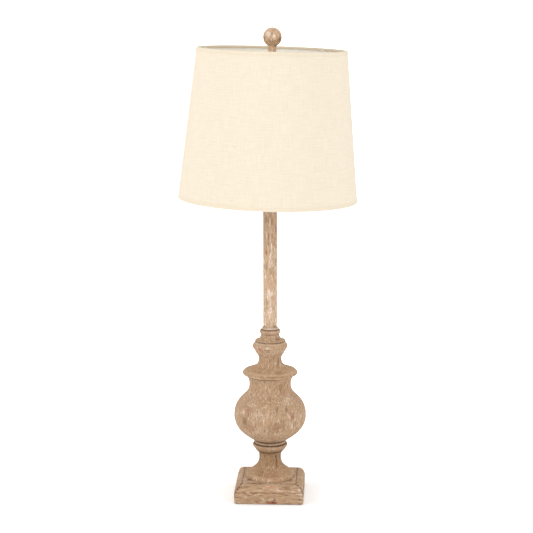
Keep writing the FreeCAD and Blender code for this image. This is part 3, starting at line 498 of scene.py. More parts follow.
# spots seen on the column and plinth: middle and reach in millimetres, colour, strength
COLUMN_SPOTS = [
    ((-36, -50, 162), (8, 20, 9), RED, 0.5), ((-41, -45, 145), (6, 20, 10), BROWN, 0.65),
    ((-31, -44, 134), (10, 20, 8), RED, 0.4), ((37, -45, 183), (12, 20, 8), WHITE, 0.7),
    ((30, -45, 176), (8, 20, 6), PALE, 0.7), ((40, -45, 154), (4, 20, 8), RED, 0.8),
    ((14, -55, 139), (22, 20, 9), BROWN, 0.4), ((18, -55, 133), (12, 20, 6), RED, 0.35),
    ((14, -60, 169), (2.4, 20, 8), DARK, 0.45), ((30, -54, 167), (2.4, 20, 9), DARK, 0.45),
    ((-3, -55, 190), (3, 20, 7), DARK, 0.35), ((2, -55, 183), (2, 20, 6), DARK, 0.4),
    ((-8, -55, 181), (2, 20, 6), RED, 0.5), ((21, -42, 194), (6, 20, 8), RED, 0.45),
    ((22, -34, 201), (5, 20, 6), RED, 0.4), ((9, -34, 106), (6, 20, 4), DARK, 0.4),
    ((-20, -50, 160), (9, 20, 9), WHITE, 0.3), ((-44, -40, 158), (4, 20, 6), WHITE, 0.5),
    ((-27, -10, 265.5), (4.5, 9, 4), ORANGE, 0.9), ((-15.8, -24, 265.5), (3.4, 9, 3.6), ORANGE, 0.85),
    ((-24, -15.5, 262), (3.4, 8, 2.6), WHITE, 0.9), ((-4.4, -28.4, 267.8), (5, 10, 2.4), WHITE, 0.65),
    ((-3.5, -28.6, 264.4), (6, 10, 1.6), BROWN, 0.7), ((14, -14, 281), (5, 10, 3), DARK, 0.55),
    ((-21, -41, 218.6), (10, 10, 2.2), WHITE, 0.9), ((4, -46, 221.4), (26, 14, 1.7), BROWN, 0.7),
    ((14.5, -15.5, 240), (1.6, 8, 9), DARK, 0.55), ((18, -38, 226), (12, 14, 4), BROWN, 0.5),
    ((3, -42, 46), (12, 24, 8), RED, 0.4), ((-16, -38, 48), (9, 24, 7), BROWN, 0.5),
    ((10.8, -16, 73), (2.4, 8, 3.4), DARK, 0.65), ((11.6, -17, 62), (1.7, 8, 12), DARK, 0.55),
    ((-2.7, -11.7, 458), (1.8, 8, 9), RED, 0.85), ((10.4, -6, 470), (2.2, 8, 10), RED, 0.8),
    ((-5.7, -10.5, 434), (1.5, 8, 10), RED, 0.85), ((9.4, -7.5, 445), (1.8, 8, 6), ORANGE, 0.4),
    ((3.9, -11.3, 482), (1.5, 8, 10), BROWN, 0.6), ((6.8, -9.7, 435), (1.6, 8, 5), BROWN, 0.7),
    ((2.5, -11.6, 440), (2, 8, 8), WHITE, 0.7), ((4, -11.2, 411), (1.8, 8, 8), WHITE, 0.8),
    ((-5.9, -10.5, 407), (1.6, 8, 7), BROWN, 0.6), ((1.9, -11.8, 395.6), (1.6, 8, 4), BROWN, 0.5),
    ((-0.5, -11.8, 359), (3.2, 8, 12), WHITE, 0.35), ((10.1, -6.4, 407), (1.6, 8, 7), RED, 0.5),
    ((-5.4, -10.7, 346), (2, 8, 9), BROWN, 0.5), ((-0.8, -11.9, 334), (2.2, 8, 10), WHITE, 0.25),
    ((0, -14, 298.3), (15, 8, 1.4), WHITE, 0.8), ((-10.5, -8, 301.5), (3, 6, 1.8), DARK, 0.5),
    ((9.5, -9, 301.5), (4, 6, 2), DARK, 0.5),
    ((-18, -8, 292), (5, 10, 3), RED, 0.7), ((2, -18.5, 290.8), (14, 8, 1.3), ORANGE, 0.55),
    ((16, -9, 788.4), (3.6, 8, 5), DARK, 0.8), ((10.5, -4, 779), (4, 8, 4.4), DARK, 0.75),
    ((3.3, -14.7, 797), (1.4, 8, 4.4), BROWN, 0.9), ((6.8, -15, 793.5), (4, 8, 3.6), WHITE, 0.8),
    ((-2.5, -13, 797), (4.4, 8, 6), WHITE, 0.7), ((7.2, -10.6, 803), (2.4, 8, 2.2), RED, 0.9),
    ((-1.8, -5, 772.4), (2.6, 6, 2.4), ORANGE, 0.4), ((-9, -8.6, 789.5), (2.2, 8, 4.4), BROWN, 0.8),
    ((5, -11, 783), (13, 12, 4.6), BROWN, 0.5),
]
PLINTH_SPOTS = [
    ((4, -59.4, 3.8), (12, 8, 3.2), RED, 1.0), ((9, -59.4, 5.4), (5.5, 8, 4.6), RUST, 0.95),
    ((52.5, -57, 26), (2.6, 7, 3), WHITE, 1.0), ((56.5, -59, 20), (2.4, 6, 3), WHITE, 1.0),
    ((50.5, -49.5, 33), (3.4, 4, 3.2), DARK, 0.85), ((55.5, -54, 29.5), (3, 4, 4), DARK, 0.9),
    ((58.2, -57, 24.5), (2.6, 4, 3.6), DARK, 0.9), ((-48.5, -50, 32.3), (2.4, 5, 2.4), RUST, 0.8),
    ((-51.2, -55, 29.4), (2.4, 5, 2.4), RUST, 0.85), ((-53.8, -57.5, 26.2), (2.6, 5, 2.6), RUST, 0.9),
    ((-57, -59, 22.2), (2.8, 5, 3), RUST, 0.95), ((-59.2, -59, 17.5), (2.2, 5, 4), RUST, 0.8),
    ((1, -54, 30), (11, 10, 2.4), tone(214, 158, 124), 0.7), ((31, -54, 29), (9, 10, 3), BROWN, 0.55),
    ((-20, -59.4, 9), (16, 8, 4), BROWN, 0.3), ((-14, -59, 20.9), (44, 8, 1.4), RED, 0.5),
    # the two dark arcs beside the pedestal's foot are painted shadow
    ((-32, -28, 34), (9, 9, 4), DARK, 0.6), ((33, -27, 34), (9, 9, 4), DARK, 0.6),
]


def add_spots(w, place, grain, colour, spots):
    """Paint the named spots over a colour, frayed along the grain."""
    ragged = w.noise(w.stretch(grain, (420.0, 420.0, 130.0)), 1.0, 5.0, 0.7)
    for middle, reach, paint, strength in spots:
        middle = [v * MM for v in middle]
        reach = [v * MM for v in reach]
        shape = w.group(spot, Vector=place, Place=middle, Reach=reach, Ragged=ragged)
        colour = w.coat(colour, paint, shape["Mask"], strength)
    return colour


def wood_colour(w, place, grain, hollow, ridge, spots):
    """Colour and height of the washed wood. grain is the place turned so that Z runs along the grain."""
    def drawn(shift, width, length, coverage, softness):
        moved = w.shift(grain, shift) if any(shift) else grain
        return w.group(strokes, Vector=moved, Width=width, Length=length, Coverage=coverage,
                       Softness=softness)

    def ragged(shift, size, coverage, softness):
        moved = w.shift(grain, shift)
        return w.group(patches, Vector=moved, Size=size, Coverage=coverage, Softness=softness)

    wash = w.group(patches, Vector=w.stretch(grain, (1.0, 1.0, 0.6)), Size=0.02, Coverage=0.5, Softness=0.3)
    colour = w.mix(wash["Mask"], MIDDLE, PALE)
    colour = w.coat(colour, BROWN, ragged((0.4, 0.9, 0.3), 0.013, 0.3, 0.2)["Mask"], 0.4)
    colour = add_spots(w, place, grain, colour, spots)
    broad = drawn((0, 0, 0), 0.0034, 0.017, 0.42, 0.12)
    colour = w.coat(colour, BROWN, broad["Mask"], 0.58)
    fine = drawn((0.3, 0.1, 0.2), 0.0019, 0.009, 0.46, 0.12)
    colour = w.coat(colour, BROWN, fine["Mask"], 0.6)
    colour = w.coat(colour, WHITE, drawn((0.7, 0.4, 0.9), 0.003, 0.012, 0.42, 0.14)["Mask"], 0.72)
    cracks = drawn((0.1, 0.8, 0.5), 0.0019, 0.01, 0.28, 0.07)
    colour = w.coat(colour, DARK, cracks["Mask"], 0.6)
    colour = w.coat(colour, RED, ragged((0.2, 0.6, 0.1), 0.009, 0.1, 0.1)["Mask"], 0.45)
    # painted shade: the wood is darkened in its grooves and hollows
    hollow_shade = w.group(crevices, Vector=grain, Hollow=hollow, Breakup=0.75)
    colour = w.coat(colour, DARK, hollow_shade["Mask"], 0.78)
    worn = w.group(crevices, Vector=w.shift(grain, (0.5, 0.5, 0.5)), Hollow=ridge, Breakup=0.8)
    colour = w.coat(colour, PALE, worn["Mask"], 0.4)
    height = w.math("ADD", broad["Height"], w.math("MULTIPLY", fine["Height"], 0.5))
    height = w.math("SUBTRACT", height, w.math("MULTIPLY", cracks["Mask"], 0.3))
    return colour, height


def wood_material(name, lying, spots):
    """Washed wood. Lying grain runs round the plinth, upright grain up the column."""
    material, w, shader, place = new_material(name)
    grain = place
    if lying:
        parts = w.add("ShaderNodeSeparateXYZ", {0: place}).outputs
        front = w.add("ShaderNodeCombineXYZ", {0: parts[1], 1: parts[2], 2: parts[0]}).outputs[0]
        flank = w.add("ShaderNodeCombineXYZ", {0: parts[0], 1: parts[2], 2: parts[1]}).outputs[0]
        either = w.add("ShaderNodeMix", {0: w.layer("flank"), 4: front, 5: flank}, data_type="VECTOR")
        grain = either.outputs[1]
    colour, height = wood_colour(w, place, grain, w.layer("hollow"), w.layer("ridge"), spots)
    # brightness by height: the wash together with painted shade and painted light
    level = w.math("DIVIDE", w.add("ShaderNodeSeparateXYZ", {0: place}).outputs[2], TONE_RAMP_TOP)
    ramp = w.add("ShaderNodeValToRGB", {0: level})
    ramp.color_ramp.elements[0].position = 0
    ramp.color_ramp.elements[1].position = 1
    for index, (position, value, cool) in enumerate(TONE_AND_SHADE_BY_HEIGHT):
        if index in (0, len(TONE_AND_SHADE_BY_HEIGHT) - 1):
            element = ramp.color_ramp.elements[0 if index == 0 else -1]
        else:
            element = ramp.color_ramp.elements.new(position)
        element.color = (value, value ** 1.15 * (1 + cool / 2), value ** 1.3 * (1 + cool * 1.6), 1)
    colour = w.mix(1.0, colour, ramp.outputs[0], "MULTIPLY")
    w.join(colour, shader.inputs["Base Color"])
    w.join(w.between(height, 0.3, 1.2, 0.62, 0.82), shader.inputs["Roughness"])
    shader.inputs["Specular IOR Level"].default_value = 0.3
    raise_surface(w, shader, height, 0.6 * MM, 0.8)
    return material


def linen_material(name, colour, shade, turned_in=None):
    """Linen on its own flat map; a hem's turned-in edge may be painted darker, as painted shade inside the rim."""
    material, w, shader, _ = new_material(name)
    flat = w.add("ShaderNodeUVMap", uv_map="cut").outputs[0]
    cloth = w.group(weave, Map=flat, Pitch=0.0006, Slub=0.6)
    face = w.mix(cloth["Thread"], shade, colour)
    face = w.coat(face, tone(200, 186, 160), cloth["Fleck"], 0.5)
    if turned_in is not None:
        # painted shade: the turned-in cloth inside the rim is painted darker than the outside
        face = w.mix(w.layer("turned_in"), face, w.mix(cloth["Thread"], tone(224, 207, 181), turned_in))
    w.join(face, shader.inputs["Base Color"])
    w.join(w.between(cloth["Thread"], 0.0, 1.0, 0.95, 0.82), shader.inputs["Roughness"])
    shader.inputs["Sheen Weight"].default_value = 0.1
    shader.inputs["Specular IOR Level"].default_value = 0.2
    raise_surface(w, shader, cloth["Height"], 0.16 * MM, 0.8)
    return material


def plain_material(name, light, dark, rough, metal=0.0, size=4 * MM, relief=0.03 * MM, clear=0.0):
    """A plain surface with fine mottling, such as metal, plastic, paper or felt."""
    material, w, shader, place = new_material(name)
    fine = w.group(mottle, Vector=place, Size=size)
    face = w.mix(w.between(fine["Value"], 0.3, 0.7), tone(*dark), tone(*light))
    w.join(face, shader.inputs["Base Color"])
    scratched = w.between(fine["Scratch"], 0.3, 0.7, rough * 0.8, min(1.0, rough * 1.2))
    w.join(scratched, shader.inputs["Roughness"])
    shader.inputs["Metallic"].default_value = metal
    shader.inputs["Transmission Weight"].default_value = clear
    raise_surface(w, shader, fine["Value"], relief)
    return material


# light and dark of the mottling, roughness, then what differs from a plain dull surface
PLAIN_LOOKS = {
    "shade_liner": ((250, 247, 238), (242, 238, 228), 0.7, {"size": 20 * MM}),
    "felt": ((74, 64, 56), (46, 39, 34), 0.95, {"size": 1.2 * MM, "relief": 0.3 * MM}),
    "raw_steel": ((170, 168, 165), (120, 117, 113), 0.45, {"metal": 1.0}),
    "bush_plastic": ((212, 201, 180), (198, 186, 164), 0.5, {}),
    "brass": ((205, 172, 108), (170, 134, 76), 0.32, {"metal": 1.0, "size": 9 * MM}),
    "contact_brass": ((214, 184, 120), (184, 150, 92), 0.3, {"metal": 1.0}),
    "socket_paper": ((196, 172, 136), (172, 146, 110), 0.85, {}),
    "socket_plastic": ((44, 38, 35), (33, 28, 26), 0.55, {}),
    "knob_plastic": ((40, 34, 31), (28, 24, 22), 0.35, {}),
    "bare_aluminium": ((206, 206, 204), (176, 176, 175), 0.38, {"metal": 1.0}),
    "ring_wire": ((226, 223, 216), (204, 200, 190), 0.5, {}),
    "insulator_black": ((30, 26, 30), (20, 17, 20), 0.3, {}),
    "frosted_glass": ((250, 250, 248), (240, 240, 238), 0.5, {"clear": 0.35}),
}
materials = {
    "washed_wood": wood_material("washed_wood", False, COLUMN_SPOTS),
    "plinth_wood": wood_material("plinth_wood", True, PLINTH_SPOTS),
    "linen": linen_material("linen", tone(251, 241, 222), tone(238, 223, 199)),
    # the last colour is the hem's turned-in edge, painted darker as painted shade
    "hem_cloth": linen_material("hem_cloth", tone(249, 237, 216), tone(235, 219, 194), tone(240, 226, 204)),
}
for name, (light, dark, rough, more) in PLAIN_LOOKS.items():
    materials[name] = plain_material(name, light, dark, rough, **more)


# ------------------------------ outline of the whole column

# the turned pieces of the column: steps round, and millimetres from ring to ring
COLUMN = {
    "pedestal": (192, 0.7), "lower_ring": (160, 0.45), "baluster": (256, 1.1),
    "knop_section": (192, 0.7), "top_collar": (144, 0.5), "stem": (96, 1.6),
}
# grooves darkened with painted shade, and pale ridges, round the column: height and half width in mm, strength
COLUMN_GROOVES = [
    (78.4, 0.9, 0.3), (81.2, 1.3, 0.72), (94.4, 1.4, 1.0), (101.0, 1.7, 1.0), (220.2, 1.4, 0.24),
    (275.9, 0.8, 0.8), (287.6, 0.9, 0.45), (295.7, 1.1, 0.95), (300.3, 0.8, 0.7),
]
COLUMN_RIDGES = [(87.6, 1.6, 0.8), (97.2, 0.9, 0.4), (216.2, 1.1, 0.7), (272.6, 1.2, 0.5), (298, 0.9, 1.0)]
RUNG = 0.25 * MM

outlines = {node: outline_of(node, step * MM) for node, (_, step) in COLUMN.items()}
column_side = np.array([point for side, _, _, _ in outlines.values() for point in side])


def relief_at(heights, side, reach):
    """How far a side lies inside its own average over a reach, in millimetres, at some heights."""
    ladder = np.arange(side[:, 1].min(), side[:, 1].max(), RUNG)
    radii = np.interp(ladder, side[:, 1], side[:, 0])
    count = int(3 * reach / RUNG)
    bell = np.exp(-0.5 * (np.arange(-count, count + 1) * RUNG / reach) ** 2)
    padded = np.pad(radii, count, mode="edge")
    smooth = np.convolve(padded, bell / bell.sum(), mode="valid")
    return np.interp(heights, ladder, (smooth - radii) / MM)


def lines_at(heights, lines):
    """How strongly each height lies on the lines of the turning."""
    total = np.zeros(len(heights))
    for middle, half_width, strength in lines:
        total += strength * near(heights / MM, middle, half_width)
    return total


stroke_ruler = stretcher("stroke_ruler", (1, 1, 5))
bark = cloud("bark", 2.6 * MM, 2)
dents = cloud("dents", 9 * MM, 3)

for node, (segments, _) in COLUMN.items():
    bore = outlines[node][1]
    piece = turn(f"{node}_wood", loop_of(*outlines[node]), segments)
    places = points_of(piece)
    heights = places[:, 2]
    proud = -relief_at(heights, column_side, 1.0 * MM) * 1.9
    # painted shade in the grooves of the turning
    mark(piece, "hollow", np.clip(lines_at(heights, COLUMN_GROOVES), 0, 1))
    mark(piece, "ridge", np.clip(proud + lines_at(heights, COLUMN_RIDGES), 0, 1))
    from_end = np.minimum(heights - heights.min(), heights.max() - heights)
    outside = radii_of(places) > bore + 1.5 * MM
    group_of(piece, "outside", outside * np.clip(from_end / (0.6 * MM), 0.25, 1))
    # the slim stem is the smoothest of the pieces
    roughen(piece, bark, (0.28 if node == "stem" else 0.45) * MM, stroke_ruler)
    roughen(piece, dents, (0.3 if node == "stem" else 0.5) * MM)
    apply_all(piece)
    finish_piece(piece, node, "lamp", "washed_wood")


# ------------------------------ plinth

# the flat top and the line cut round it
PLATEAU_HALF = 46.8 * MM
INCISION_WIDTH = 1.2 * MM
INCISION_DEPTH = 0.7 * MM
CELL = 1.2 * MM
# where painted shade darkens the wood: under the rounded edge and round the pedestal's foot
OVOLO_FOOT = 20.9 * MM
PEDESTAL_RADIUS = 42 * MM
# the hollow below, the pipe's hole above it and the cord's channel to the back
HOLLOW_RADIUS = 42 * MM
HOLLOW_TOP = 16 * MM
PIPE_HOLE = 5.3 * MM
PIPE_HOLE_TOP = 40 * MM
CHANNEL_RADIUS = 4.4 * MM
CHANNEL_HEIGHT = 7.2 * MM


def plinth_outline():
    """Half of the plinth's section (distance from the middle, height), from the underside to the top."""
    low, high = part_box("plinth")
    edge = high.z - INCISION_DEPTH
    side = []
    count = round((edge - low.z) / (0.6 * MM))
    for i in range(count + 1):
        height = low.z + CLEAR + (edge - low.z - 2 * CLEAR) * i / count
        start = Vector((20 * MM, -FAR_OUT, height))
        found, place, _, _ = nodes["plinth"].ray_cast(start, Vector((0, 1, 0)))
        if found:
            side.append((-place.y, height))
    underside = [(high.x * t, low.z) for t in np.linspace(0, 0.97, 20)]
    side[0] = (side[0][0], low.z)
    side[-1] = (PLATEAU_HALF, edge)
    inner = PLATEAU_HALF - INCISION_WIDTH
    groove = [(PLATEAU_HALF - INCISION_WIDTH / 2, edge), (inner, high.z - INCISION_DEPTH * 0.8),
              (inner - 0.1 * MM, high.z)]
    top = [(x, high.z) for x in np.linspace(inner - CELL, 0, 36)]
    return underside + side + groove + top


def make_plinth():
    """One mitred side, drawn, extruded and cut, then turned round to the other three."""
    reach = 60 * MM
    piece = draw_line("plinth_wood", [(-reach, -across, up) for across, up in plinth_outline()])
    columns = round(2 * reach / CELL)
    for _ in range(columns):
        bpy.ops.mesh.extrude_edges_move(TRANSFORM_OT_translate={"value": (2 * reach / columns, 0, 0)})
    for slant in (1, -1):
        bpy.ops.mesh.select_all(action="SELECT")
        bpy.ops.mesh.bisect(plane_co=(0, 0, 0), plane_no=(slant, 1, 0), clear_outer=True, threshold=WELD)
    bpy.ops.mesh.select_all(action="SELECT")
    bpy.ops.mesh.spin(steps=4, angle=FULL_TURN, center=(0, 0, 0), axis=(0, 0, 1), dupli=True)
    close_up()

    places = points_of(piece)
    across, along, up = np.abs(places[:, 0]), np.abs(places[:, 1]), places[:, 2]
    low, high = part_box("plinth")
    from_mitre = np.abs(across - along)
    outer = np.maximum(across, along)
    on_side = outer > PLATEAU_HALF
    on_rim = outer > 50 * MM
    on_top = up > 32 * MM
    group_of(piece, "corner", np.clip(1.3 - from_mitre / (5 * MM), 0, 1) * on_side)
    modifier = piece.modifiers.new("ease", "SMOOTH")
    modifier.factor = 0.6
    modifier.iterations = 13
    modifier.vertex_group = "corner"
    # the flat top is planed smoother than the sides
    outside = np.where(on_side, 1.0, (up > high.z - 2 * MM) * 0.35)
    group_of(piece, "outside", outside * (up > low.z + MM))
    roughen(piece, cloud("planed", 2.4 * MM, 2), 0.4 * MM, stretcher("lying_ruler", (4, 4, 1)))
    roughen(piece, dents, 0.8 * MM)
    apply_all(piece)

    groove = near(up, OVOLO_FOOT, 0.8 * MM) * on_rim
    cut_line = near(outer, PLATEAU_HALF - INCISION_WIDTH / 2, 0.8 * MM) * on_top
    mitre = near(from_mitre, 0, 1.2 * MM) * on_side * (up > 14 * MM)
    foot = near(radii_of(places), PEDESTAL_RADIUS, 1.2 * MM) * on_top
    # painted shade in the groove, the cut line and round the pedestal's foot; the mitre line is a dark joint
    mark(piece, "hollow", np.clip(groove * 0.36 + cut_line * 0.62 + mitre * 0.9 + foot * 0.5, 0, 1))
    mark(piece, "ridge", np.clip(1 - from_mitre / (3 * MM), 0, 1) * on_rim * 0.7)
    mark(piece, "flank", (across > along) * on_side * 1.0)
    hollow = [(0, 0), (HOLLOW_RADIUS, 0), (HOLLOW_RADIUS, HOLLOW_TOP), (PIPE_HOLE, HOLLOW_TOP),
              (PIPE_HOLE, PIPE_HOLE_TOP), (0, PIPE_HOLE_TOP)]
    cut_away(piece, turn("plinth_hollow", hollow, 96),
             lying_rod(CHANNEL_RADIUS, 60 * MM, (0, 60 * MM, CHANNEL_HEIGHT)))
    soften(piece, 50)
    finish_piece(piece, "plinth", "lamp", "washed_wood", "plinth_wood")


make_plinth()


# ------------------------------ finial

INSERT_RADIUS = 5.02 * MM
INSERT_TOP = 15.9 * MM
NECK_TOP = 30 * MM

side, _, low, high = outline_of("finial_ball", 0.4 * MM, seat)
side = [p for p in side if p[0] > 0.4 * MM]
hole = [(0, high), (0, INSERT_TOP), (INSERT_RADIUS, INSERT_TOP), (INSERT_RADIUS, low)]
finial = turn("finial_wood", hole[-1:] + side + hole, 144, seat)
local = points_on_seat(finial)
heights = local[:, 2]
inside = relief_at(heights, np.array(side), 1.4 * MM) * 1.6
# painted shade in the hollows of the finial's lower part
mark(finial, "hollow", np.clip(inside, 0, 1) * (heights < NECK_TOP) * 0.16)
mark(finial, "ridge", np.clip(-inside, 0, 1) * (heights < NECK_TOP))
group_of(finial, "outside", (radii_of(local) > 5.6 * MM) | (heights > 20 * MM))
roughen(finial, bark, 0.4 * MM, stroke_ruler)
roughen(finial, dents, 0.5 * MM)
apply_all(finial)
finish_piece(finial, "finial_ball", "finial", "washed_wood")


# ------------------------------ shade

CLOTH = 0.6 * MM
MAP_RADIUS = 140 * MM
HEM_BAND = 6.4 * MM
HEM_PROUD = 0.35 * MM
HEM_LEG = 0.78  # of the solid hem's height: the cloth ends just below the ring wire
FOLD_RADIUS = 0.9 * MM
EDGE_RADIUS = 0.5 * MM


def wall_of(node):
    """Inner radius, outer radius and height of a slanted wall's foot, then the same of its head."""
    corners, low, high = corners_of(node)
    foot = [c.xy.length for c in corners if c.z < low + CLEAR]
    head = [c.xy.length for c in corners if c.z > high - CLEAR]
    return min(foot), max(foot), low, min(head), max(head), high


def wall_outline(inner_foot, outer_foot, low, inner_head, outer_head, high, rows):
    """Up the outside of a slanted wall and down its inside."""
    def face(foot, head, first, last):
        return [(foot + (head - foot) * t, low + (high - low) * t) for t in np.linspace(first, last, rows)]

    up = face(outer_foot, outer_head, 0, 1)
    return up + face(inner_foot, inner_head, 1, 0) + up[:1]


def lay_flat(piece):
    """The map of the cut cloth in metres: round the shade, and up its side."""
    local = points_on_seat(piece)
    corners = np.empty(len(piece.data.loops), dtype=np.int64)
    piece.data.loops.foreach_get("vertex_index", corners)
    counts = np.empty(len(piece.data.polygons), dtype=np.int64)
    piece.data.polygons.foreach_get("loop_total", counts)
    angles = np.arctan2(local[:, 1], local[:, 0])[corners]
    starts = np.concatenate(([0], np.cumsum(counts)[:-1]))
    spans = np.maximum.reduceat(angles, starts) - np.minimum.reduceat(angles, starts)
    # a face across the back, where the angle jumps by a full turn, stays whole
    crossing = np.repeat(spans > math.pi, counts)
    angles = np.where(crossing & (angles < 0), angles + FULL_TURN, angles)
    flat = np.stack([angles * MAP_RADIUS, local[corners, 2]], axis=1)
    for layer in list(piece.data.uv_layers):
        piece.data.uv_layers.remove(layer)
    piece.data.uv_layers.new(name="cut").data.foreach_set("uv", flat.astype(np.float32).ravel())


cover_wall = wall_of("shade_cover")
_, cover_foot, cover_low, _, cover_head, cover_high = cover_wall
cover = turn("linen_cover", wall_outline(*cover_wall, rows=60), 256, seat)
lay_flat(cover)
liner = turn("liner_sheet", wall_outline(*wall_of("shade_liner"), rows=24), 192, seat)
lay_flat(liner)


def hem_outline(node, upward):
    """The turned-over rim: a band outside, a rounded fold, a flat rim and the turned-in edge."""
    corners, low, high = corners_of(node)
    edge, sign = (high, 1) if upward else (low, -1)
    radii = [c.xy.length for c in corners if abs(c.z - edge) < CLEAR]
    outer = max(radii)
    width = outer - min(radii)
    leg = (high - low) * HEM_LEG
    slope = (cover_head - cover_foot) / (cover_high - cover_low)

    def at(inset, depth):
        return outer + HEM_PROUD - inset - sign * slope * depth, edge - sign * depth

    def behind(inset, depth):
        return at(inset + HEM_PROUD, depth)

    shut = [at(0.05 * MM, HEM_BAND), at(0, HEM_BAND - 0.3 * MM), at(0, HEM_BAND / 2), at(0, 1.0 * MM)]
    fold = [at(FOLD_RADIUS * (1 - math.cos(a)), FOLD_RADIUS * (1 - math.sin(a)))
            for a in np.linspace(0.2, math.pi / 2, 6)]
    rim = [at(width * t, 0) for t in (0.3, 0.55, 0.8)]
    turn_in = [at(width + HEM_PROUD - EDGE_RADIUS * (1 - math.sin(a)), EDGE_RADIUS * (1 - math.cos(a)))
               for a in np.linspace(0, math.pi / 2, 4)]
    # below the ring the cloth turns back and lies against the liner
    liner_face = CLOTH + 0.55 * MM
    inside = [behind(width, leg * t) for t in (0.2, 0.45)]
    inside += [behind(width - inset * MM, leg * t) for inset, t in ((0.4, 0.62), (1.4, 0.77), (2.5, 0.9))]
    inside.append(behind(liner_face + CLOTH, leg))
    under = [behind(liner_face, leg), behind(liner_face + 0.8 * MM, leg * 0.84)]
    under += [behind(width - 1.7 * MM, leg * 0.7), behind(width - 0.9 * MM, leg * 0.57)]
    under += [behind(width - CLOTH, leg * t) for t in (0.45, 0.2)]
    beneath = [at(width - CLOTH, CLOTH), at(width * 0.6, CLOTH), at(width * 0.35, CLOTH)]
    beneath.append(behind(0.05 * MM, CLOTH))
    back_band = [behind(0, depth) for depth in (1.2 * MM, HEM_BAND / 2, HEM_BAND)]
    outline = shut + fold + rim + turn_in + inside + under + beneath + back_band
    return outline + outline[:1]


for node, upward in (("top_hem", True), ("bottom_hem", False)):
    hem = turn(f"{node}_fold", hem_outline(node, upward), 256, seat)
    lay_flat(hem)
    local = points_on_seat(hem)
    inset = np.interp(local[:, 2], (cover_low, cover_high), (cover_foot, cover_head)) - radii_of(local)
    mark(hem, "turned_in", np.clip((inset - 0.8 * MM) / (0.6 * MM), 0, 1))
    finish_piece(hem, node, "shade", "hem_cloth")
finish_piece(cover, "shade_cover", "shade", "linen")
finish_piece(liner, "shade_liner", "shade", "shade_liner")


# ------------------------------ small fittings


def make_sleeve(node, body):
    """A locking sleeve of the harp, with a rolled bead at its foot and head."""
    low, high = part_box(node)
    middle = (low + high) / 2
    length = high.z - low.z
    radius = (high.x - low.x) / 2
    bore, neck = 3.4 * MM, radius - 0.3 * MM
    rise = [(neck, 0), (radius, 0.4), (radius, 1.5), (neck, 2.1), (neck, 7.0), (neck, 11.9), (radius, 12.5),
            (radius, 13.6)]
    outline = [(bore, 0)] + [(r, z * MM) for r, z in rise]
    outline += [(neck, length), (bore, length), (bore, 7 * MM), (bore, 0)]
    piece = turn(f"{node}_brass", outline, 48, Matrix.Translation((middle.x, middle.y, low.z)))
    soften(piece, 40)
    finish_piece(piece, node, body, "brass")


def make_socket_shell():
    """Thin brass shell with rolled beads and a window for the switch."""
    low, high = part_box("socket_shell")
    radius, wall = high.x, 0.4 * MM
    length = high.z - low.z
    valley, shoulder = radius - 0.28 * MM, radius - 0.1 * MM
    bead = ((valley, -1.2), (shoulder, -0.6), (radius, 0), (shoulder, 0.6), (valley, 1.2))
    side = [(valley, 0)]
    for middle in (2.2, 5.0, length / MM - 5.4, length / MM - 1.6):
        side += [(r, (middle + z) * MM) for r, z in bead]
    side.append((valley, length))
    inner = [(radius - wall, z) for z in (length, length / 2, 0)]
    piece = turn("socket_shell_brass", side + inner + side[:1], 96, Matrix.Translation((0, 0, low.z)))
    cut_away(piece, lying_rod(3 * MM, 20 * MM, (0, -radius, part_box("key_shaft")[0].z + 2 * MM)))
    soften(piece, 40)
    finish_piece(piece, "socket_shell", "lamp", "brass")


def make_bulb_base():
    """Aluminium screw base of the bulb, closed below, with its rolled thread."""
    low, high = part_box("bulb_base")
    radius, wall = high.x, 0.5 * MM
    length = high.z - low.z
    depth, pitch, first = 0.32 * MM, 3.6 * MM, 2.0 * MM
    side = [(0, 0), (radius * 0.6, 0), (radius - 0.5 * MM, 0), (radius - 0.1 * MM, 0.5 * MM)]
    for z in np.arange(first, length - 4.0 * MM, pitch / 8):
        side.append((radius - depth * (0.5 + 0.5 * math.cos(FULL_TURN * (z - first) / pitch)), z))
    side += [(radius - 0.15 * MM, length - 3.0 * MM), (radius, length - 0.6 * MM)]
    side.append((radius - 0.1 * MM, length))
    inner = [(radius - wall, z) for z in (length, length / 2, MM)] + [(0, MM)]
    piece = turn("bulb_base_rolled", side + inner, 96, Matrix.Translation((0, 0, low.z)))
    finish_piece(piece, "bulb_base", "bulb_screw", "bare_aluminium")


def eased_block(name, node, width, steps):
    """A block that fills a node's box, its edges eased, still in edit mode."""
    low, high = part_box(node)
    nothing_selected()
    bpy.ops.mesh.primitive_cube_add(size=1, location=(low + high) / 2)
    piece = bpy.context.object
    piece.name = piece.data.name = name
    piece.scale = high - low
    bpy.ops.object.transform_apply(location=True, rotation=True, scale=True)
    bpy.ops.object.mode_set(mode="EDIT")
    bpy.ops.mesh.select_all(action="SELECT")
    bpy.ops.mesh.bevel(offset=width, segments=steps, affect="EDGES", profile=0.5)
    return piece


def make_knob():
    """Flat switch knob with eased edges and a sunk end."""
    piece = eased_block("switch_knob_moulded", "switch_knob", 2.4 * MM, 5)
    bpy.ops.mesh.select_all(action="DESELECT")
    bpy.ops.object.mode_set(mode="OBJECT")
    for face in piece.data.polygons:
        face.select = face.normal.y < -0.99
    bpy.ops.object.mode_set(mode="EDIT")
    bpy.ops.mesh.inset(thickness=0.5 * MM)
    bpy.ops.transform.translate(value=(0, 0.5 * MM, 0))
    close_up()
    soften(piece, 35)
    finish_piece(piece, "switch_knob", "switch_key", "knob_plastic")


def make_felt():
    """Felt under the plinth, soft at its edges."""
    piece = eased_block("felt_sheet", "felt_pad", 0.4 * MM, 3)
    close_up()
    soften(piece, 50)
    finish_piece(piece, "felt_pad", "lamp", "felt")


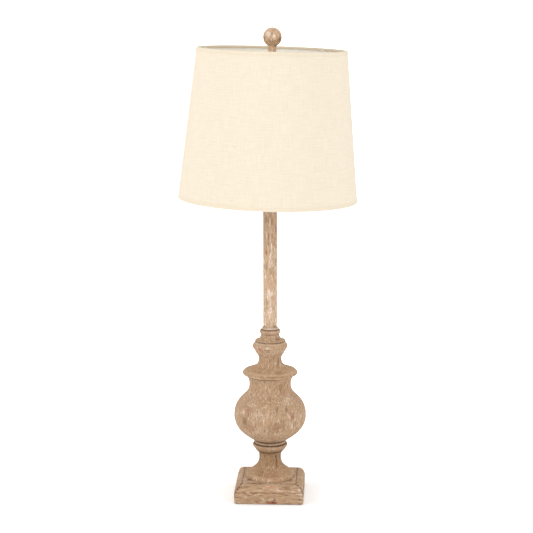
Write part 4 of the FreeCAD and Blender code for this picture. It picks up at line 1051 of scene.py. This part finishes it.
def make_bush():
    """Bush of the cord's inlet at the back, with a rounded flange."""
    low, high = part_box("cord_bush")
    bore, shank, flange = 3.2 * MM, CHANNEL_RADIUS, high.x
    length = high.y - low.y
    step = length - 1.5 * MM
    outline = [(bore, 0), (shank - 0.3 * MM, 0), (shank, 0.3 * MM), (shank, step / 2), (shank, step),
               (flange, step), (flange, length - 0.9 * MM), (flange - 0.3 * MM, length - 0.3 * MM),
               (flange - 0.9 * MM, length), (bore + 0.5 * MM, length), (bore, length - 0.5 * MM),
               (bore, length / 2), (bore, 0)]
    place = Matrix.Translation((0, low.y, (low.z + high.z) / 2)) @ Matrix.Rotation(-math.pi / 2, 4, "X")
    piece = turn("cord_bush_moulded", outline, 64, place)
    soften(piece, 35)
    finish_piece(piece, "cord_bush", "lamp", "bush_plastic")


make_sleeve("harp_sleeve_left", "sleeve_left")
make_sleeve("harp_sleeve_right", "sleeve_right")
make_socket_shell()
make_bulb_base()
make_knob()
make_felt()
make_bush()


# ------------------------------ CAD nodes that are shown as they are

for row in frame["record"]["subparts"]:
    node = nodes[row["node"]]
    for index in range(len(node.data.materials)):
        node.data.materials[index] = materials[row["material_slot"]]

for name in ("stroke_ruler", "lying_ruler"):
    bpy.data.objects.remove(bpy.data.objects[name])


# ------------------------------ floor, light and camera

SKY_LIGHT = 0.84
FLOOR_GLOW_NEAR = 0.22
FLOOR_GLOW_FAR = 1.0
LIGHT_AIM = Vector((0, 0, 0.45))
# the place and angle that the photo was taken from
CAMERA_AWAY = 2.547
CAMERA_HEIGHT = 0.8711
CAMERA_AZIMUTH = math.radians(2.6)
CAMERA_PITCH = math.radians(10.378)
CAMERA_LENS = 102.6
CAMERA_SHIFT = -0.0068


def make_stage():
    """A plain pale floor, which glows for the camera so that it fades into the sky."""
    nothing_selected()
    bpy.ops.mesh.primitive_plane_add(size=300)
    floor = bpy.context.object
    floor.name = "floor"
    material, w, shader, place = new_material("floor_paper")
    face = w.mix(w.noise(place, 3.0), tone(252, 252, 251), tone(250, 250, 249))
    w.join(face, shader.inputs["Base Color"])
    w.join(w.between(w.noise(place, 40.0), 0.3, 0.7, 0.9, 1.0), shader.inputs["Roughness"])
    seen = w.add("ShaderNodeLightPath").outputs["Is Camera Ray"]
    shader.inputs["Emission Color"].default_value = (1, 1, 1, 1)
    glow = w.between(w.vector("LENGTH", place)["Value"], 0.1, 0.7, FLOOR_GLOW_NEAR, FLOOR_GLOW_FAR)
    w.join(w.math("MULTIPLY", seen, glow), shader.inputs["Emission Strength"])
    floor.data.materials.append(material)


def make_light(name, place, size, power):
    """A round light that shines on the lamp."""
    data = bpy.data.lights.new(name, "AREA")
    data.shape = "DISK"
    data.size = size
    data.energy = power
    light = bpy.data.objects.new(name, data)
    bpy.context.scene.collection.objects.link(light)
    light.location = place
    light.rotation_mode = "QUATERNION"
    light.rotation_quaternion = (LIGHT_AIM - Vector(place)).to_track_quat("-Z", "Y")


def make_sky():
    """White as the camera sees it, softer as the light it gives."""
    world = bpy.data.worlds.new("studio")
    bpy.context.scene.world = world
    w = rewire(world)
    path = w.add("ShaderNodeLightPath").outputs
    seen = w.math("MAXIMUM", path["Is Camera Ray"], path["Is Glossy Ray"])
    seen = w.math("MAXIMUM", seen, path["Is Transmission Ray"])
    strength = w.math("ADD", w.math("MULTIPLY", seen, 1.0 - SKY_LIGHT), SKY_LIGHT)
    glow = w.add("ShaderNodeBackground", {"Color": (1, 1, 1, 1), "Strength": strength})
    w.join(glow.outputs[0], w.add("ShaderNodeOutputWorld").inputs[0])


def make_camera():
    """Camera at the photo's place and angle."""
    east, north = math.sin(CAMERA_AZIMUTH), math.cos(CAMERA_AZIMUTH)
    level, fall = math.cos(CAMERA_PITCH), math.sin(CAMERA_PITCH)
    forward = Vector((-east * level, north * level, -fall))
    right = Vector((north, east, 0))
    data = bpy.data.cameras.new("camera")
    data.lens = CAMERA_LENS
    data.sensor_width = 36
    data.shift_x = CAMERA_SHIFT
    camera = bpy.data.objects.new("camera", data)
    bpy.context.scene.collection.objects.link(camera)
    place = Matrix.Identity(4)
    for index, way in enumerate((right, right.cross(forward), -forward)):
        place.col[index][:3] = way
    place.col[3][:3] = (CAMERA_AWAY * east, -CAMERA_AWAY * north, CAMERA_HEIGHT)
    camera.matrix_world = place
    bpy.context.scene.camera = camera


make_stage()
make_sky()
make_light("key_light", (-2.2, -1.5, 1.9), size=1.4, power=21.0)
make_light("fill_light", (2.2, -1.5, 1.2), size=1.6, power=14.0)
make_camera()
bpy.context.scene.view_settings.view_transform = "Standard"
